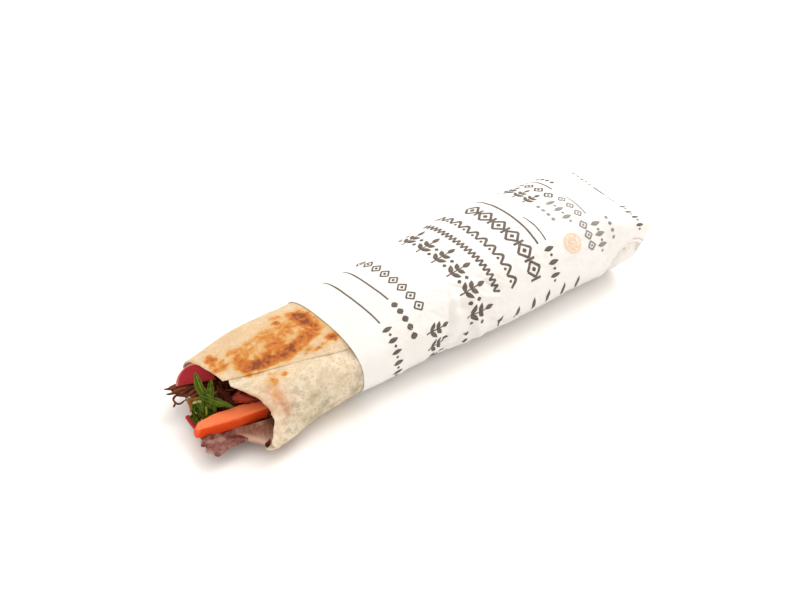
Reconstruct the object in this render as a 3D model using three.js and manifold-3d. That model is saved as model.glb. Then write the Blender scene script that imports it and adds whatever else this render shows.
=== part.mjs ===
// Shawarma wrap: a flatbread roll filled with sliced meat, tomato, pickled turnip and
// parsley, rolled in a paper sleeve that is folded shut at one end.
// Millimetres. X runs along the wrap from the open mouth to the closed end, Y to its back,
// Z up. The wrap lies on its flattened underside, its origin under the middle of its box.
import * as THREE from 'three';
import { mergeVertices } from 'three/addons/utils/BufferGeometryUtils.js';
import Module from 'manifold-3d';

// ---- driving dimensions ----------------------------------------------------------------

const PAPER_EDGE = -52;        // x where the paper stops and bare bread begins
const CLOSED_END = 107;        // x of the fold that closes the paper
const PAPER_THICK = 0.5;
const BREAD_THICK = 1.5;
const GAP = 0.35;              // clearance that separate pieces keep
const PAPER_GAP = 0.65;        // clearance between the paper and the bread
const LAYER_GAP = 0.5;         // clearance between two turns of the bread
const OVERLAP = 50;            // degrees that the bread's inner end reaches under the flap
const ROUND = 0.8;             // power that squares the roll's oval section
const FOLD_ROUND = 0.24;       // the same for the flat top of the closed end
const SETTLE = 0.6;            // how far the underside is pressed flat by its weight
const BREAD_END = 92;          // x where the bread stops inside the paper
const FILLING_END = 88;        // x where the filling stops inside the bread
const SIDES = 36;              // facets round the roll

// The roll along its length: x, half width, underside height, top height, share by which the
// underside is narrower than the top.
const ROLL = [
  [-106, 25.0, 0.0, 21.0, 0.00],
  [-78, 27.4, 0.0, 23.9, 0.00],
  [-52, 29.4, 0.0, 28.2, 0.00],
  [-15, 29.0, 0.0, 34.2, 0.00],
  [25, 30.6, 0.0, 39.6, 0.00],
  [65, 29.0, 0.0, 41.5, 0.02],
  [88, 29.2, 0.4, 37.6, 0.06],
  [107, 30.2, 2.2, 29.4, 0.18],
];

// The flap's edge along the top: x, angle round the roll in degrees (90 is the top).
const SEAM = [[-106, 89], [-101, 92.7], [-74, 111.4], [-52, 129], [0, 136], [92, 138]];

// The mouth's rim: degrees round from the flap's edge, x of the rim.
const MOUTH = [
  [0, -101], [34, -103.6], [86, -104.2], [140, -100], [186, -93], [228, -93],
  [256, -95], [286, -94], [321, -97.4], [348, -99.6], [370, -96.5], [410, -92],
];
const DROOP = { at: 244, spread: 34, reach: 20, shift: new THREE.Vector3(-2.4, -5.8, -3.0) };

const END_LEAN = 7;            // how far the closed end's foot is tucked back under its top
const END_SKEW = 0.11;         // slant of the closing fold across the wrap
const END_BLEND = 40;          // length over which lean and slant come in

// ---- small helpers ---------------------------------------------------------------------

// Smooth value of a table's column at a place, by a Catmull-Rom curve through its rows.
function along(table, at, column = 1) {
  const last = table.length - 1;
  if (at <= table[0][0]) return table[0][column];
  if (at >= table[last][0]) return table[last][column];
  const i = table.findIndex((row) => row[0] > at) - 1;
  const [before, start, end, after] = [i - 1, i, i + 1, i + 2]
    .map((k) => table[THREE.MathUtils.clamp(k, 0, last)]);
  const span = end[0] - start[0];
  const t = (at - start[0]) / span;
  const slopeIn = (end[column] - before[column]) / (end[0] - before[0]) * span;
  const slopeOut = (after[column] - start[column]) / (after[0] - start[0]) * span;
  const rise = start[column] - end[column];
  return start[column] + t * (slopeIn + t * (-3 * rise - 2 * slopeIn - slopeOut
    + t * (2 * rise + slopeIn + slopeOut)));
}

const power = (value, exponent) => Math.sign(value) * Math.abs(value) ** exponent;
const bump = (distance, spread) => Math.exp(-((distance / spread) ** 2));
const radians = THREE.MathUtils.degToRad;
const mix = THREE.MathUtils.lerp;

// Slow, repeatable unevenness between -1 and 1.
function ripple(a, b, c = 0) {
  return (Math.sin(a * 1.7 + b * 0.9 + c) + Math.sin(b * 2.3 - a * 0.8 + 2 * c + 1.3)
    + Math.sin(c * 1.9 + a * 2.9 + b * 1.1 + 0.4)) / 3;
}

// Indexed geometry from points and faces, turned so that its faces point out.
function closedGeometry(points, faces) {
  let volume = 0;
  for (const [a, b, c] of faces) {
    volume += points[a].dot(points[b].clone().cross(points[c]));
  }
  const index = faces.flatMap(([a, b, c]) => (volume < 0 ? [a, c, b] : [a, b, c]));
  const geometry = new THREE.BufferGeometry().setFromPoints(points);
  geometry.setIndex(index);
  return mergeVertices(geometry, 1e-4);
}

// A solid between two sheets of points, each a function of u and v from 0 to 1.
function slab(across, down, front, back) {
  const points = [];
  const faces = [];
  const row = down + 1;
  const sheet = (across + 1) * row;
  for (const side of [front, back]) {
    for (let i = 0; i <= across; i += 1) {
      for (let j = 0; j <= down; j += 1) points.push(side(i / across, j / down));
    }
  }
  const quad = (a, b, c, d) => faces.push([a, b, c], [a, c, d]);
  for (let i = 0; i < across; i += 1) {
    for (let j = 0; j < down; j += 1) {
      const at = i * row + j;
      quad(at, at + row, at + row + 1, at + 1);
      quad(sheet + at, sheet + at + 1, sheet + at + row + 1, sheet + at + row);
    }
  }
  for (let i = 0; i < across; i += 1) {
    const near = i * row;
    const far = near + down;
    quad(near, sheet + near, sheet + near + row, near + row);
    quad(far, far + row, sheet + far + row, sheet + far);
  }
  for (let j = 0; j < down; j += 1) {
    const first = j;
    const final = across * row + j;
    quad(first, first + 1, sheet + first + 1, sheet + first);
    quad(final, sheet + final, sheet + final + 1, final + 1);
  }
  return closedGeometry(points, faces);
}

// A slice of even or thinning thickness round a curved middle sheet.
function slice(across, down, middle, thickness) {
  const step = 0.01;
  const offset = (u, v, side) => {
    const centre = middle(u, v);
    const alongU = middle(Math.min(u + step, 1), v).sub(middle(Math.max(u - step, 0), v));
    const alongV = middle(u, Math.min(v + step, 1)).sub(middle(u, Math.max(v - step, 0)));
    const normal = alongU.cross(alongV).normalize();
    return centre.addScaledVector(normal, side * thickness(u, v) / 2);
  };
  return slab(across, down, (u, v) => offset(u, v, 1), (u, v) => offset(u, v, -1));
}

// A solid through rings of equally many points, closed by a fan at each end.
function loft(rings) {
  const points = rings.flat();
  const count = rings[0].length;
  const faces = [];
  for (let i = 0; i < rings.length - 1; i += 1) {
    for (let j = 0; j < count; j += 1) {
      const a = i * count + j;
      const b = i * count + (j + 1) % count;
      faces.push([a, b, b + count], [a, b + count, a + count]);
    }
  }
  for (const [ring, turned] of [[0, true], [rings.length - 1, false]]) {
    const middle = new THREE.Vector3();
    rings[ring].forEach((point) => middle.addScaledVector(point, 1 / count));
    points.push(middle);
    for (let j = 0; j < count; j += 1) {
      const a = ring * count + j;
      const b = ring * count + (j + 1) % count;
      faces.push(turned ? [b, a, points.length - 1] : [a, b, points.length - 1]);
    }
  }
  return closedGeometry(points, faces);
}

// ---- cutting and joining ---------------------------------------------------------------

const wasm = await Module();
wasm.setup();

function toManifold(geometry) {
  return new wasm.Manifold(new wasm.Mesh({
    numProp: 3,
    vertProperties: new Float32Array(geometry.attributes.position.array),
    triVerts: new Uint32Array(geometry.index.array),
  }));
}

function toGeometry(solid) {
  const mesh = solid.getMesh();
  const geometry = new THREE.BufferGeometry();
  geometry.setAttribute('position', new THREE.BufferAttribute(mesh.vertProperties, 3));
  geometry.setIndex(new THREE.BufferAttribute(mesh.triVerts, 1));
  return geometry;
}

// The same surface moved out along its normals.
function grown(geometry, distance = GAP) {
  const wider = geometry.clone();
  wider.computeVertexNormals();
  const { position, normal } = wider.attributes;
  for (let i = 0; i < position.count; i += 1) {
    const moved = new THREE.Vector3().fromBufferAttribute(position, i)
      .addScaledVector(new THREE.Vector3().fromBufferAttribute(normal, i), distance);
    position.setXYZ(i, moved.x, moved.y, moved.z);
  }
  return wider;
}

// The largest piece that is left of a geometry once the cutters' space is taken away.
function carve(geometry, cutters) {
  let solid = toManifold(geometry);
  for (const cutter of cutters) solid = solid.subtract(toManifold(cutter));
  const pieces = solid.decompose();
  pieces.sort((a, b) => b.volume() - a.volume());
  return toGeometry(pieces[0]);
}

function join(...geometries) {
  const [first, ...rest] = geometries.map(toManifold);
  return toGeometry(rest.reduce((whole, piece) => whole.add(piece), first));
}

// ---- the roll's own surface ------------------------------------------------------------

// Point at a depth under the roll's skin. Angles in degrees: 0 back, 90 top, 180 front.
function skin(x, angle, depth) {
  const low = Math.max(0, along(ROLL, x, 2));
  const high = along(ROLL, x, 3);
  const boxy = THREE.MathUtils.smoothstep(x, CLOSED_END - 34, CLOSED_END);
  const round = Math.sin(radians(angle)) > 0 ? mix(ROUND, FOLD_ROUND, boxy) : ROUND;
  const across = power(Math.cos(radians(angle)), round);
  const up = power(Math.sin(radians(angle)), round);
  const narrow = 1 - along(ROLL, x, 4) * (1 - up) / 2;
  const halfHeight = (high - low + SETTLE) / 2;
  const y = (along(ROLL, x, 1) - depth) * across * narrow;
  const z = high - halfHeight + (halfHeight - depth) * up;
  return new THREE.Vector3(x, y, Math.max(z, low + depth));
}

// The closed end leans and slants: how much a point near it moves along X.
function endShift(point) {
  const share = THREE.MathUtils.smoothstep(point.x, CLOSED_END - END_BLEND, CLOSED_END);
  const drop = 1 - point.z / along(ROLL, CLOSED_END, 3);
  return share * (point.y * END_SKEW - END_LEAN * Math.max(drop, 0));
}

function skinRing(x, depth, shrink = 0) {
  const middle = new THREE.Vector3(x, 0, along(ROLL, x, 3) / 2);
  const ring = [];
  for (let i = 0; i < SIDES; i += 1) {
    const point = skin(x, 360 * i / SIDES, depth).lerp(middle, shrink);
    point.x += endShift(point);
    ring.push(point);
  }
  return ring;
}

// ---- paper sleeve ----------------------------------------------------------------------

function paperWrap() {
  const dent = (ring) => ring.map((point, i) => {
    const share = THREE.MathUtils.smoothstep(point.x, PAPER_EDGE, PAPER_EDGE + 20);
    const inward = 0.015 * share * ripple(point.x / 9, i / 2.4);
    return point.z < 1.5 ? point : point.setY(point.y * (1 - inward));
  });
  const sleeve = (stations, depth) => stations.map((x) => dent(skinRing(x, depth)));
  const outer = sleeve([-52, -40, -26, -11, 4, 19, 34, 49, 63, 75, 86, 95, 102, 106], 0);
  const inner = sleeve([101, 92, 80, 66, 49, 34, 19, 4, -11, -26, -40, -52], PAPER_THICK);
  const outerEnd = [[0.8, 0.03], [1, 0.1], [1.3, 0.5], [0.6, 0.93]]
    .map(([x, shrink]) => skinRing(CLOSED_END - 1 + x, 0, shrink));
  const innerEnd = [0.93, 0.5, 0.1]
    .map((shrink) => skinRing(CLOSED_END - 2.5, PAPER_THICK, shrink));
  return loft([...innerEnd, ...inner, ...outer, ...outerEnd]);
}

// ---- bread -----------------------------------------------------------------------------

// Rows of the sheet: shares of the way from the rim to the paper, then places inside it.
const BARE_ROWS = [0, 0.13, 0.3, 0.48, 0.66, 0.83, 0.945, 0.99];
const HIDDEN_ROWS = [-38, -20, 0, 20, 40, 60, 78, BREAD_END];

// A point of the rolled sheet: turn is the way round from the flap's edge in degrees, row
// counts from the mouth, side is 0 outside and 1 inside.
function breadPoint(turn, row, side, clearance) {
  const rim = along(MOUTH, turn);
  const x = row < BARE_ROWS.length
    ? mix(rim - clearance, PAPER_EDGE, BARE_ROWS[row])
    : HIDDEN_ROWS[row - BARE_ROWS.length];
  const angle = along(SEAM, x) - turn;
  const under = THREE.MathUtils.smoothstep(turn, 338, 362) * (BREAD_THICK + LAYER_GAP);
  const paper = THREE.MathUtils.smoothstep(x, PAPER_EDGE - 3, PAPER_EDGE - 0.4);
  const depth = under + paper * (PAPER_THICK + PAPER_GAP) + side * (BREAD_THICK + clearance);
  const point = skin(x, angle, depth);
  const sag = bump(turn - DROOP.at, DROOP.spread) * bump(x - rim, DROOP.reach);
  point.addScaledVector(DROOP.shift, sag);
  point.z = Math.max(point.z, side * (BREAD_THICK * 0.7 + clearance) + 0.05);
  point.x += endShift(point);
  return point;
}

function flatbread(clearance = 0) {
  const turns = 360 + OVERLAP;
  const rows = BARE_ROWS.length + HIDDEN_ROWS.length - 1;
  const sheet = (side) => (u, v) => breadPoint(u * turns, Math.round(v * rows), side, clearance);
  return slab(Math.round(turns * SIDES / 360), rows, sheet(0), sheet(1));
}

// ---- filling ---------------------------------------------------------------------------

// Meat packed inside the bread. Its open face is uneven: it is heaped out of the mouth at
// the back and set back under the flap.
function meatCore() {
  const facets = 24;
  const packed = PAPER_THICK + PAPER_GAP + BREAD_THICK + 2 * GAP;
  const heap = { y: 1.5, z: 6, wide: 9, high: 6, out: 17 };
  const ring = (x, shrink, front) => {
    const points = [];
    for (let i = 0; i < facets; i += 1) {
      const angle = 360 * i / facets;
      const fromOverlap = ((angle - along(SEAM, x) + 26 + 540) % 360) - 180;
      const depth = packed + (BREAD_THICK + LAYER_GAP) * Math.min(1, 1.7 * bump(fromOverlap, 50));
      const middle = new THREE.Vector3(x, 0, along(ROLL, x, 3) / 2);
      const point = skin(x, angle, depth).lerp(middle, shrink);
      const out = heap.out * bump(point.y - heap.y, heap.wide) * bump(point.z - heap.z, heap.high);
      point.x += endShift(point) + front * (ripple(i / 2.1, shrink * 5, 1) - out);
      points.push(point);
    }
    return points;
  };
  return loft([
    ring(-92.5, 0.92, 1), ring(-93, 0.72, 1), ring(-93, 0.5, 1), ring(-92.5, 0.28, 1),
    ring(-90.5, 0.08, 0.7),
    ...[-86, -72, -52, -24, 6, 36, 60, 78, FILLING_END].map((x) => ring(x, 0, 0)),
    ring(FILLING_END + 0.5, 0.5, 0),
  ]);
}

// A bar with a rounded rectangular section along a straight line, its near end cut slanting.
function bar(from, to, halfWide, halfHigh, { rows = 8, points = 12, slant = 0, bow = 0 } = {}) {
  const run = to.clone().sub(from);
  const forward = run.clone().normalize();
  const sideways = new THREE.Vector3(0, 0, 1).cross(forward).normalize();
  const upward = forward.clone().cross(sideways);
  const rings = [];
  for (let i = 0; i <= rows; i += 1) {
    const t = i / rows;
    const end = Math.min(1, 0.72 + 2.6 * t, 0.55 + 2 * (1 - t));
    const ring = [];
    for (let j = 0; j < points; j += 1) {
      const angle = 2 * Math.PI * (j + 0.5) / points;
      const wide = halfWide * end * power(Math.cos(angle), 0.5);
      const high = halfHigh * end * power(Math.sin(angle), 0.5);
      ring.push(from.clone()
        .addScaledVector(run, t)
        .addScaledVector(forward, slant * high * (1 - t) ** 3)
        .addScaledVector(sideways, wide + bow * Math.sin(Math.PI * t))
        .addScaledVector(upward, high));
    }
    rings.push(ring);
  }
  return loft(rings);
}

const tomatoWedge = () => bar(
  new THREE.Vector3(-117.0, -8.0, 7.6),
  new THREE.Vector3(-76, -18.5, 11.4),
  3.4,
  2.6,
  { slant: 0.85, bow: -0.6, rows: 10 },
);

const turnipStick = () => bar(
  new THREE.Vector3(-115.5, 3.9, 7.6),
  new THREE.Vector3(-114.4, -8.0, 1.9),
  1.2,
  1.0,
  { points: 8, rows: 4 },
);

// Half-round slice of pickled turnip under the bread's top, its flat cut side outward.
function turnipSlice() {
  const radius = 11.6;
  const thick = 4.6;
  const facets = 22;
  const cut = 1.2;             // how far the flat side lies outside the round's middle
  const level = (height, inset) => {
    const ring = [];
    for (let i = 0; i < facets; i += 1) {
      const angle = 2 * Math.PI * i / facets;
      const reach = (radius - inset) * (1 + 0.03 * Math.sin(3 * angle));
      ring.push(new THREE.Vector3(
        Math.max(reach * Math.cos(angle), inset - cut),
        reach * Math.sin(angle),
        height + 0.3 * Math.sin(2 * angle + 1),
      ));
    }
    return ring;
  };
  const geometry = loft([
    level(-thick / 2, 3), level(-thick / 2, 0.7), level(-thick / 4, 0), level(thick / 4, 0),
    level(thick / 2, 0.7), level(thick / 2, 3.5),
  ]);
  geometry.rotateZ(radians(45));
  geometry.rotateY(radians(-14));
  geometry.translate(-105.0, 8.0, 14.6);
  return geometry;
}

// Glossy piece of tomato flesh that sits deeper in the mouth.
function tomatoPiece() {
  const geometry = new THREE.SphereGeometry(1, 14, 9);
  geometry.deleteAttribute('normal');
  geometry.deleteAttribute('uv');
  const { position } = geometry.attributes;
  for (let i = 0; i < position.count; i += 1) {
    const point = new THREE.Vector3().fromBufferAttribute(position, i);
    const swell = 1 + 0.12 * ripple(point.x * 2, point.y * 2, point.z * 2);
    position.setXYZ(i, point.x * 7 * swell, point.y * 3.4 * swell, point.z * 2.7 * swell);
  }
  geometry.rotateZ(radians(-24));
  geometry.translate(-93.4, -9.6, 14.6);
  return mergeVertices(geometry, 1e-4);
}

// Folded slice that hangs from under the tomato to the floor and turns back into the mouth.
function beefSliceFront() {
  const inner = -84;
  const outer = -106;
  const middle = (u, v) => {
    const x = mix(outer, inner, u);
    const bulge = Math.min(1, 2.1 * u);
    const top = new THREE.Vector3(x, mix(-12.0, -20.5, bulge), mix(4.8, 8.6, bulge));
    const edge = new THREE.Vector3(x - 1.5 * bulge, mix(-14.4, -27.4, bulge), mix(2.6, 1.8, bulge));
    const tuck = new THREE.Vector3(x + 3, mix(-9, -14, u), 2.7);
    const fold = new THREE.QuadraticBezierCurve3(top, edge.lerp(top, -0.45), tuck);
    const wave = new THREE.Vector3(0, 0.5, 0.25).multiplyScalar(ripple(u * 5, v * 4));
    return fold.getPoint(v).add(wave);
  };
  return slice(10, 8, middle, (u, v) => 1.5 - 0.7 * Math.abs(2 * v - 1) ** 4
    - 0.6 * Math.abs(2 * u - 1) ** 6);
}

// Loose slice that lies on the floor in front of the mouth with a torn outline.
function beefSliceLower() {
  const middle = (u, v) => {
    const torn = 1.1 * ripple(v * 7, u * 2) * (1 - u);
    return new THREE.Vector3(
      mix(-117.2, -90, u) + torn + 5 * (1 - u) * Math.abs(v - 0.62) ** 1.4,
      mix(-6.5, -20.6 + 3 * u, v) + 0.8 * ripple(u * 6, v * 2, 1) * v,
      1.5 + 1.6 * (1 - u) ** 2 * (1 - v) + 0.35 * ripple(u * 7, v * 6),
    );
  };
  return slice(10, 7, middle, (u, v) => 1.7 - 0.8 * Math.abs(2 * v - 1) ** 3
    - 0.5 * Math.abs(2 * u - 1) ** 4);
}

// Dark shredded piece that sticks out of the mouth's back corner, ending in a ragged point.
function beefShred() {
  const middle = (u, v) => {
    const wide = mix(1.2, 11, Math.min(1, 1.9 * u)) * (1 + 0.16 * ripple(u * 9, v * 3));
    return new THREE.Vector3(
      mix(-117.0, -96, u) + 2.4 * Math.abs(v - 0.25),
      mix(18.2, 11, Math.min(1, 1.6 * u)) + wide * (0.5 - v),
      mix(10.4, 8.6, u) + 4.4 * (0.5 - v) + 0.7 * ripple(u * 6, v * 4, 2),
    );
  };
  return slice(10, 6, middle, (u, v) => 2.2 - 1.1 * Math.abs(2 * v - 1) ** 2 - 0.8 * (1 - u) ** 2);
}

// Upright flake of lighter meat beside the parsley.
function beefFlake() {
  const middle = (u, v) => new THREE.Vector3(
    mix(-113.0, -98, u) + 0.6 * ripple(v * 4, u),
    mix(4.6, 3.2, u) + 1.3 * (v - 0.5),
    mix(4.6, 12.4 - 2 * u, v) + 0.4 * ripple(u * 5, v * 2),
  );
  return slice(8, 6, middle, (u, v) => 2.6 - 1.1 * Math.abs(2 * v - 1) ** 2 - 0.7 * (1 - u) ** 3);
}

// Bunch of parsley: a stem end on the turnip, a leafy middle and one leaf to the front.
function parsleySprig() {
  const strand = (places, widths) => {
    const curve = new THREE.CatmullRomCurve3(places.map((place) => new THREE.Vector3(...place)));
    const rows = 8;
    const frames = curve.computeFrenetFrames(rows);
    const rings = [];
    for (let i = 0; i <= rows; i += 1) {
      const wide = widths(i / rows);
      const ring = [];
      for (let j = 0; j < 9; j += 1) {
        const angle = 2 * Math.PI * j / 9;
        const reach = wide * (1 + 0.22 * ripple(i * 1.3, j * 1.9));
        ring.push(curve.getPoint(i / rows)
          .addScaledVector(frames.normals[i], reach * Math.cos(angle))
          .addScaledVector(frames.binormals[i], reach * Math.sin(angle)));
      }
      rings.push(ring);
    }
    return loft(rings);
  };
  const main = strand(
    [[-107, 8.8, 20.0], [-107.6, 4, 18.2], [-108.6, -0.5, 15.2], [-111.4, -2.4, 12.0], [-112.2, -2.4, 9.0]],
    (t) => mix(1.2, 4.2, Math.min(1, 1.6 * t)) - 1.5 * t ** 6,
  );
  const leaf = strand(
    [[-109, -1, 14.4], [-106.6, -5, 15.0], [-103.6, -9.2, 15.2], [-101.6, -11.4, 14.6]],
    (t) => 2.6 - 1.7 * t,
  );
  return join(main, leaf);
}

// ---- assembly --------------------------------------------------------------------------

function addPiece(group, name, geometry, color, roughness) {
  geometry.computeVertexNormals();
  const material = new THREE.MeshStandardMaterial({ color, roughness, metalness: 0 });
  const mesh = new THREE.Mesh(geometry, material);
  mesh.name = name;
  group.add(mesh);
}

const wrap = new THREE.Group();
const breadSpace = flatbread(GAP);

// Pieces in the order in which they keep their full shape: each later one gives way.
const fillings = [
  ['tomato_wedge', tomatoWedge(), '#d9532c', 0.3],
  ['turnip_slice', turnipSlice(), '#a81f4a', 0.35],
  ['tomato_piece_inner', tomatoPiece(), '#a8301e', 0.3],
  ['beef_flake', beefFlake(), '#9a6a45', 0.6],
  ['beef_slice_front', beefSliceFront(), '#8a6258', 0.6],
  ['beef_slice_lower', beefSliceLower(), '#8c5c60', 0.6],
  ['turnip_stick', turnipStick(), '#9c2450', 0.4],
  ['beef_shred', beefShred(), '#5c3428', 0.65],
  ['parsley_sprig', parsleySprig(), '#3f7a26', 0.5],
  ['meat_filling', meatCore(), '#4a2c26', 0.7],
];

addPiece(wrap, 'paper_wrap', paperWrap(), '#f4f1ee', 0.75);
addPiece(wrap, 'flatbread', flatbread(), '#ecdcc0', 0.8);
const taken = [breadSpace];
for (const [name, geometry, color, roughness] of fillings) {
  const piece = carve(geometry, taken);
  taken.push(grown(piece));
  addPiece(wrap, name, piece, color, roughness);
}

const box = new THREE.Box3().setFromObject(wrap);
const middle = box.getCenter(new THREE.Vector3());
wrap.position.set(-middle.x, -middle.y, -box.min.z);

export default wrap;
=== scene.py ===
"""Looks of a shawarma wrap: a flatbread roll with its filling, in a printed paper sleeve.

Run as a script in Blender 4.5. Shapes are worked out in millimetres in the roll's own frame:
X runs along the roll from the open mouth to the closed end, Y to its back, Z up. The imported
model says where that frame lies. Angles round the roll are in degrees: 0 back, 90 top, 180
front. An arc is a length round the roll's skin from its top, positive to the front.
"""

import bpy
import numpy as np
from bpy.props import FloatProperty, FloatVectorProperty, IntProperty, PointerProperty
from bpy.types import Operator, Panel, PropertyGroup
from mathutils import Matrix, Vector


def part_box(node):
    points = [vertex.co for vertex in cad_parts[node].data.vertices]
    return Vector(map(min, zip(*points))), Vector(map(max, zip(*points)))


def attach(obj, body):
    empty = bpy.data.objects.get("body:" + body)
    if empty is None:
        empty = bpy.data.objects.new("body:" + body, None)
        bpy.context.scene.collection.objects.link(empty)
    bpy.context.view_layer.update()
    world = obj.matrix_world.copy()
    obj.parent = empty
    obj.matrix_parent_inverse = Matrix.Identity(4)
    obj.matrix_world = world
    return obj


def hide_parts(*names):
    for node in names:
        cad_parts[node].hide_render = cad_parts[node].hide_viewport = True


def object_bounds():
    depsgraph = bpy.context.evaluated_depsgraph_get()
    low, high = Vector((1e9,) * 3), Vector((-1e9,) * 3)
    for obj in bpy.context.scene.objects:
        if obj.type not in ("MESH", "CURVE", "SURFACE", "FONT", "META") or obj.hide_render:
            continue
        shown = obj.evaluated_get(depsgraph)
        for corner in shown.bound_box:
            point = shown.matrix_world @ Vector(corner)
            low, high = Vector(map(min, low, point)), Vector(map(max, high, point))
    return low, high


bl_info = {
    "name": "Shawarma Wrap",
    "version": (1, 0, 0),
    "blender": (4, 5, 0),
    "location": "3D View > Sidebar > Wrap",
    "description": "Builds a filled flatbread roll in a printed paper sleeve",
    "category": "Object",
}

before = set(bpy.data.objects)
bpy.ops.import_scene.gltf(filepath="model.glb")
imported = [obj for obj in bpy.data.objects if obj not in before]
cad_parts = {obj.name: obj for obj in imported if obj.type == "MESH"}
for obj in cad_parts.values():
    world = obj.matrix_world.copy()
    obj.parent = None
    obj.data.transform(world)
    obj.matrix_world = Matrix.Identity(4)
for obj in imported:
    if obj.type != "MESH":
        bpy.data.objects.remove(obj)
CAD_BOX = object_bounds()

# ---- the roll's sizes, in millimetres ----------------------------------------------------

MM = 0.001
PAPER_EDGE = -52.0
CLOSED_END = 107.0
PAPER_THICK = 0.5            # space that the paper takes in the roll
BREAD_THICK = 1.5
GAP = 0.35
PAPER_GAP = 0.65
LAYER_GAP = 0.5
OVERLAP = 50.0               # degrees that the bread's inner end reaches under the flap
ROUND = 0.8
FOLD_ROUND = 0.24
SETTLE = 0.6
BREAD_END = 92.0
FILLING_END = 88.0
END_LEAN = 7.0
END_SKEW = 0.11
END_BLEND = 40.0
FOLD_FACE = 106.6            # where the sleeve's folded end face stands
PAPER_INSET = 0.05           # depth of the smooth paper under the roll's skin
FLOOR_GAP = 0.06
MM_PER_DEGREE = 0.42         # of the rolled bread, on average
STRAND_SIDES = 12

# The roll along its length: x, half width, underside height, top height, share by which the
# underside is narrower than the top.
ROLL = np.array([
    (-106, 25.0, 0.0, 21.0, 0.00),
    (-78, 27.4, 0.0, 23.9, 0.00),
    (-52, 29.4, 0.0, 28.2, 0.00),
    (-15, 29.0, 0.0, 34.2, 0.00),
    (25, 30.6, 0.0, 39.6, 0.00),
    (65, 29.0, 0.0, 41.5, 0.02),
    (88, 29.2, 0.4, 37.6, 0.06),
    (107, 30.2, 2.2, 29.4, 0.18),
])

# The flap's edge along the top: x, angle round the roll.
SEAM = np.array([(-106, 89), (-101, 92.7), (-74, 111.4), (-52, 129), (0, 136), (92, 138)])

# The mouth's rim: degrees round from the flap's edge, x of the rim.
MOUTH = np.array([
    (0, -101), (34, -103.6), (86, -104.2), (140, -100), (186, -93), (222, -92.6),
    (236, -93.6), (249, -91.4), (264, -93.8), (286, -92.6), (308, -93.4), (326, -95.2),
    (342, -98.0), (354, -99.8), (370, -96.5), (410, -92),
])
DROOP = {"at": 244, "spread": 34, "reach": 20, "shift": np.array((-3.5, -7.2, -1.7))}

# The mouth's underside stands a little off the floor, and moves to the front as it rises.
RAISE = {"at": 236, "spread": 58, "by": 5.0, "shift": np.array((-0.85, -1.13, 1.0))}

# Where the roll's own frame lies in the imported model.
ORIGIN = np.array((
    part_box("paper_wrap")[0].x / MM - PAPER_EDGE,
    (CAD_BOX[0].y + CAD_BOX[1].y) / 2 / MM,
    0.0,
))


def spot(node, along_x, along_y, along_z):
    """A place in a node's box, by shares of its length, depth and height, in the roll's frame."""
    low, high = (np.array(corner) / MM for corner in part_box(node))
    return low + (high - low) * (along_x, along_y, along_z) - ORIGIN


# ---- numbers -----------------------------------------------------------------------------

def smooth(value, start, end):
    """0 before start, 1 after end and a soft step between them."""
    share = np.clip((value - start) / (end - start), 0, 1)
    return share * share * (3 - 2 * share)


def bump(distance, spread):
    return np.exp(-((distance / spread) ** 2))


def power(value, exponent):
    return np.sign(value) * np.abs(value) ** exponent


def mix(start, end, share):
    return start + (end - start) * share


def along(table, at, column=1):
    """Smooth value of a table's column at places, by a Catmull-Rom curve through its rows."""
    places, values = table[:, 0], table[:, column]
    last = len(places) - 1
    at = np.clip(at, places[0], places[-1])
    start = np.clip(np.searchsorted(places, at, side="right") - 1, 0, last - 1)
    end = start + 1
    before, after = np.maximum(start - 1, 0), np.minimum(end + 1, last)
    span = places[end] - places[start]
    t = (at - places[start]) / span
    slope_in = (values[end] - values[before]) / (places[end] - places[before]) * span
    slope_out = (values[after] - values[start]) / (places[after] - places[start]) * span
    rise = values[start] - values[end]
    return values[start] + t * (
        slope_in + t * (-3 * rise - 2 * slope_in - slope_out
                        + t * (2 * rise + slope_in + slope_out))
    )


def lattice(cells, seed):
    """Repeatable number from 0 to 1 for each cell of whole-number places."""
    mask = 0x7FFFFFFF
    mixed = (cells[..., 0] * 73856093) ^ (cells[..., 1] * 19349663) ^ (cells[..., 2] * 83492791)
    mixed = (mixed + seed * 668265263) & mask
    mixed = ((mixed ^ (mixed >> 15)) * 1103515245 + 12345) & mask
    mixed = ((mixed ^ (mixed >> 13)) * 69069 + 1) & mask
    return (mixed ^ (mixed >> 16)) / mask


def noise(points, size, seed=0):
    """Smooth noise between -1 and 1 whose lumps have a size in millimetres, one or per axis."""
    place = points / np.asarray(size, float)
    cell = np.floor(place).astype(np.int64)
    part = place - cell
    part = part * part * (3 - 2 * part)
    total = 0
    for corner in np.ndindex(2, 2, 2):
        weight = np.prod(np.where(np.array(corner, bool), part, 1 - part), axis=-1)
        total = total + weight * lattice(cell + np.array(corner), seed)
    return 2 * total - 1


def rough(points, size, octaves=3, seed=0, fold=False):
    """Noise with finer and finer detail. Folded noise has sharp creases."""
    total, weight, full = 0, 1.0, 0
    size = np.asarray(size, float)
    for octave in range(octaves):
        value = noise(points, size, seed + octave)
        total = total + weight * (np.abs(value) if fold else value)
        full += weight
        weight *= 0.5
        size = size / 2.1
    return total / full


def unit(vectors):
    """Vectors made one long."""
    return vectors / np.maximum(np.linalg.norm(vectors, axis=-1, keepdims=True), 1e-9)


def flat(first, second):
    """Places on a flat sheet as points, for the noise functions."""
    first, second = np.broadcast_arrays(first, second)
    return np.stack([first, second, np.zeros_like(first, dtype=float)], -1)


# ---- the roll's surface ------------------------------------------------------------------

def middle_line(x):
    """The point in the middle of the roll at a place along it."""
    return np.array((x, 0, along(ROLL, np.array(x), 3) / 2))


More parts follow.
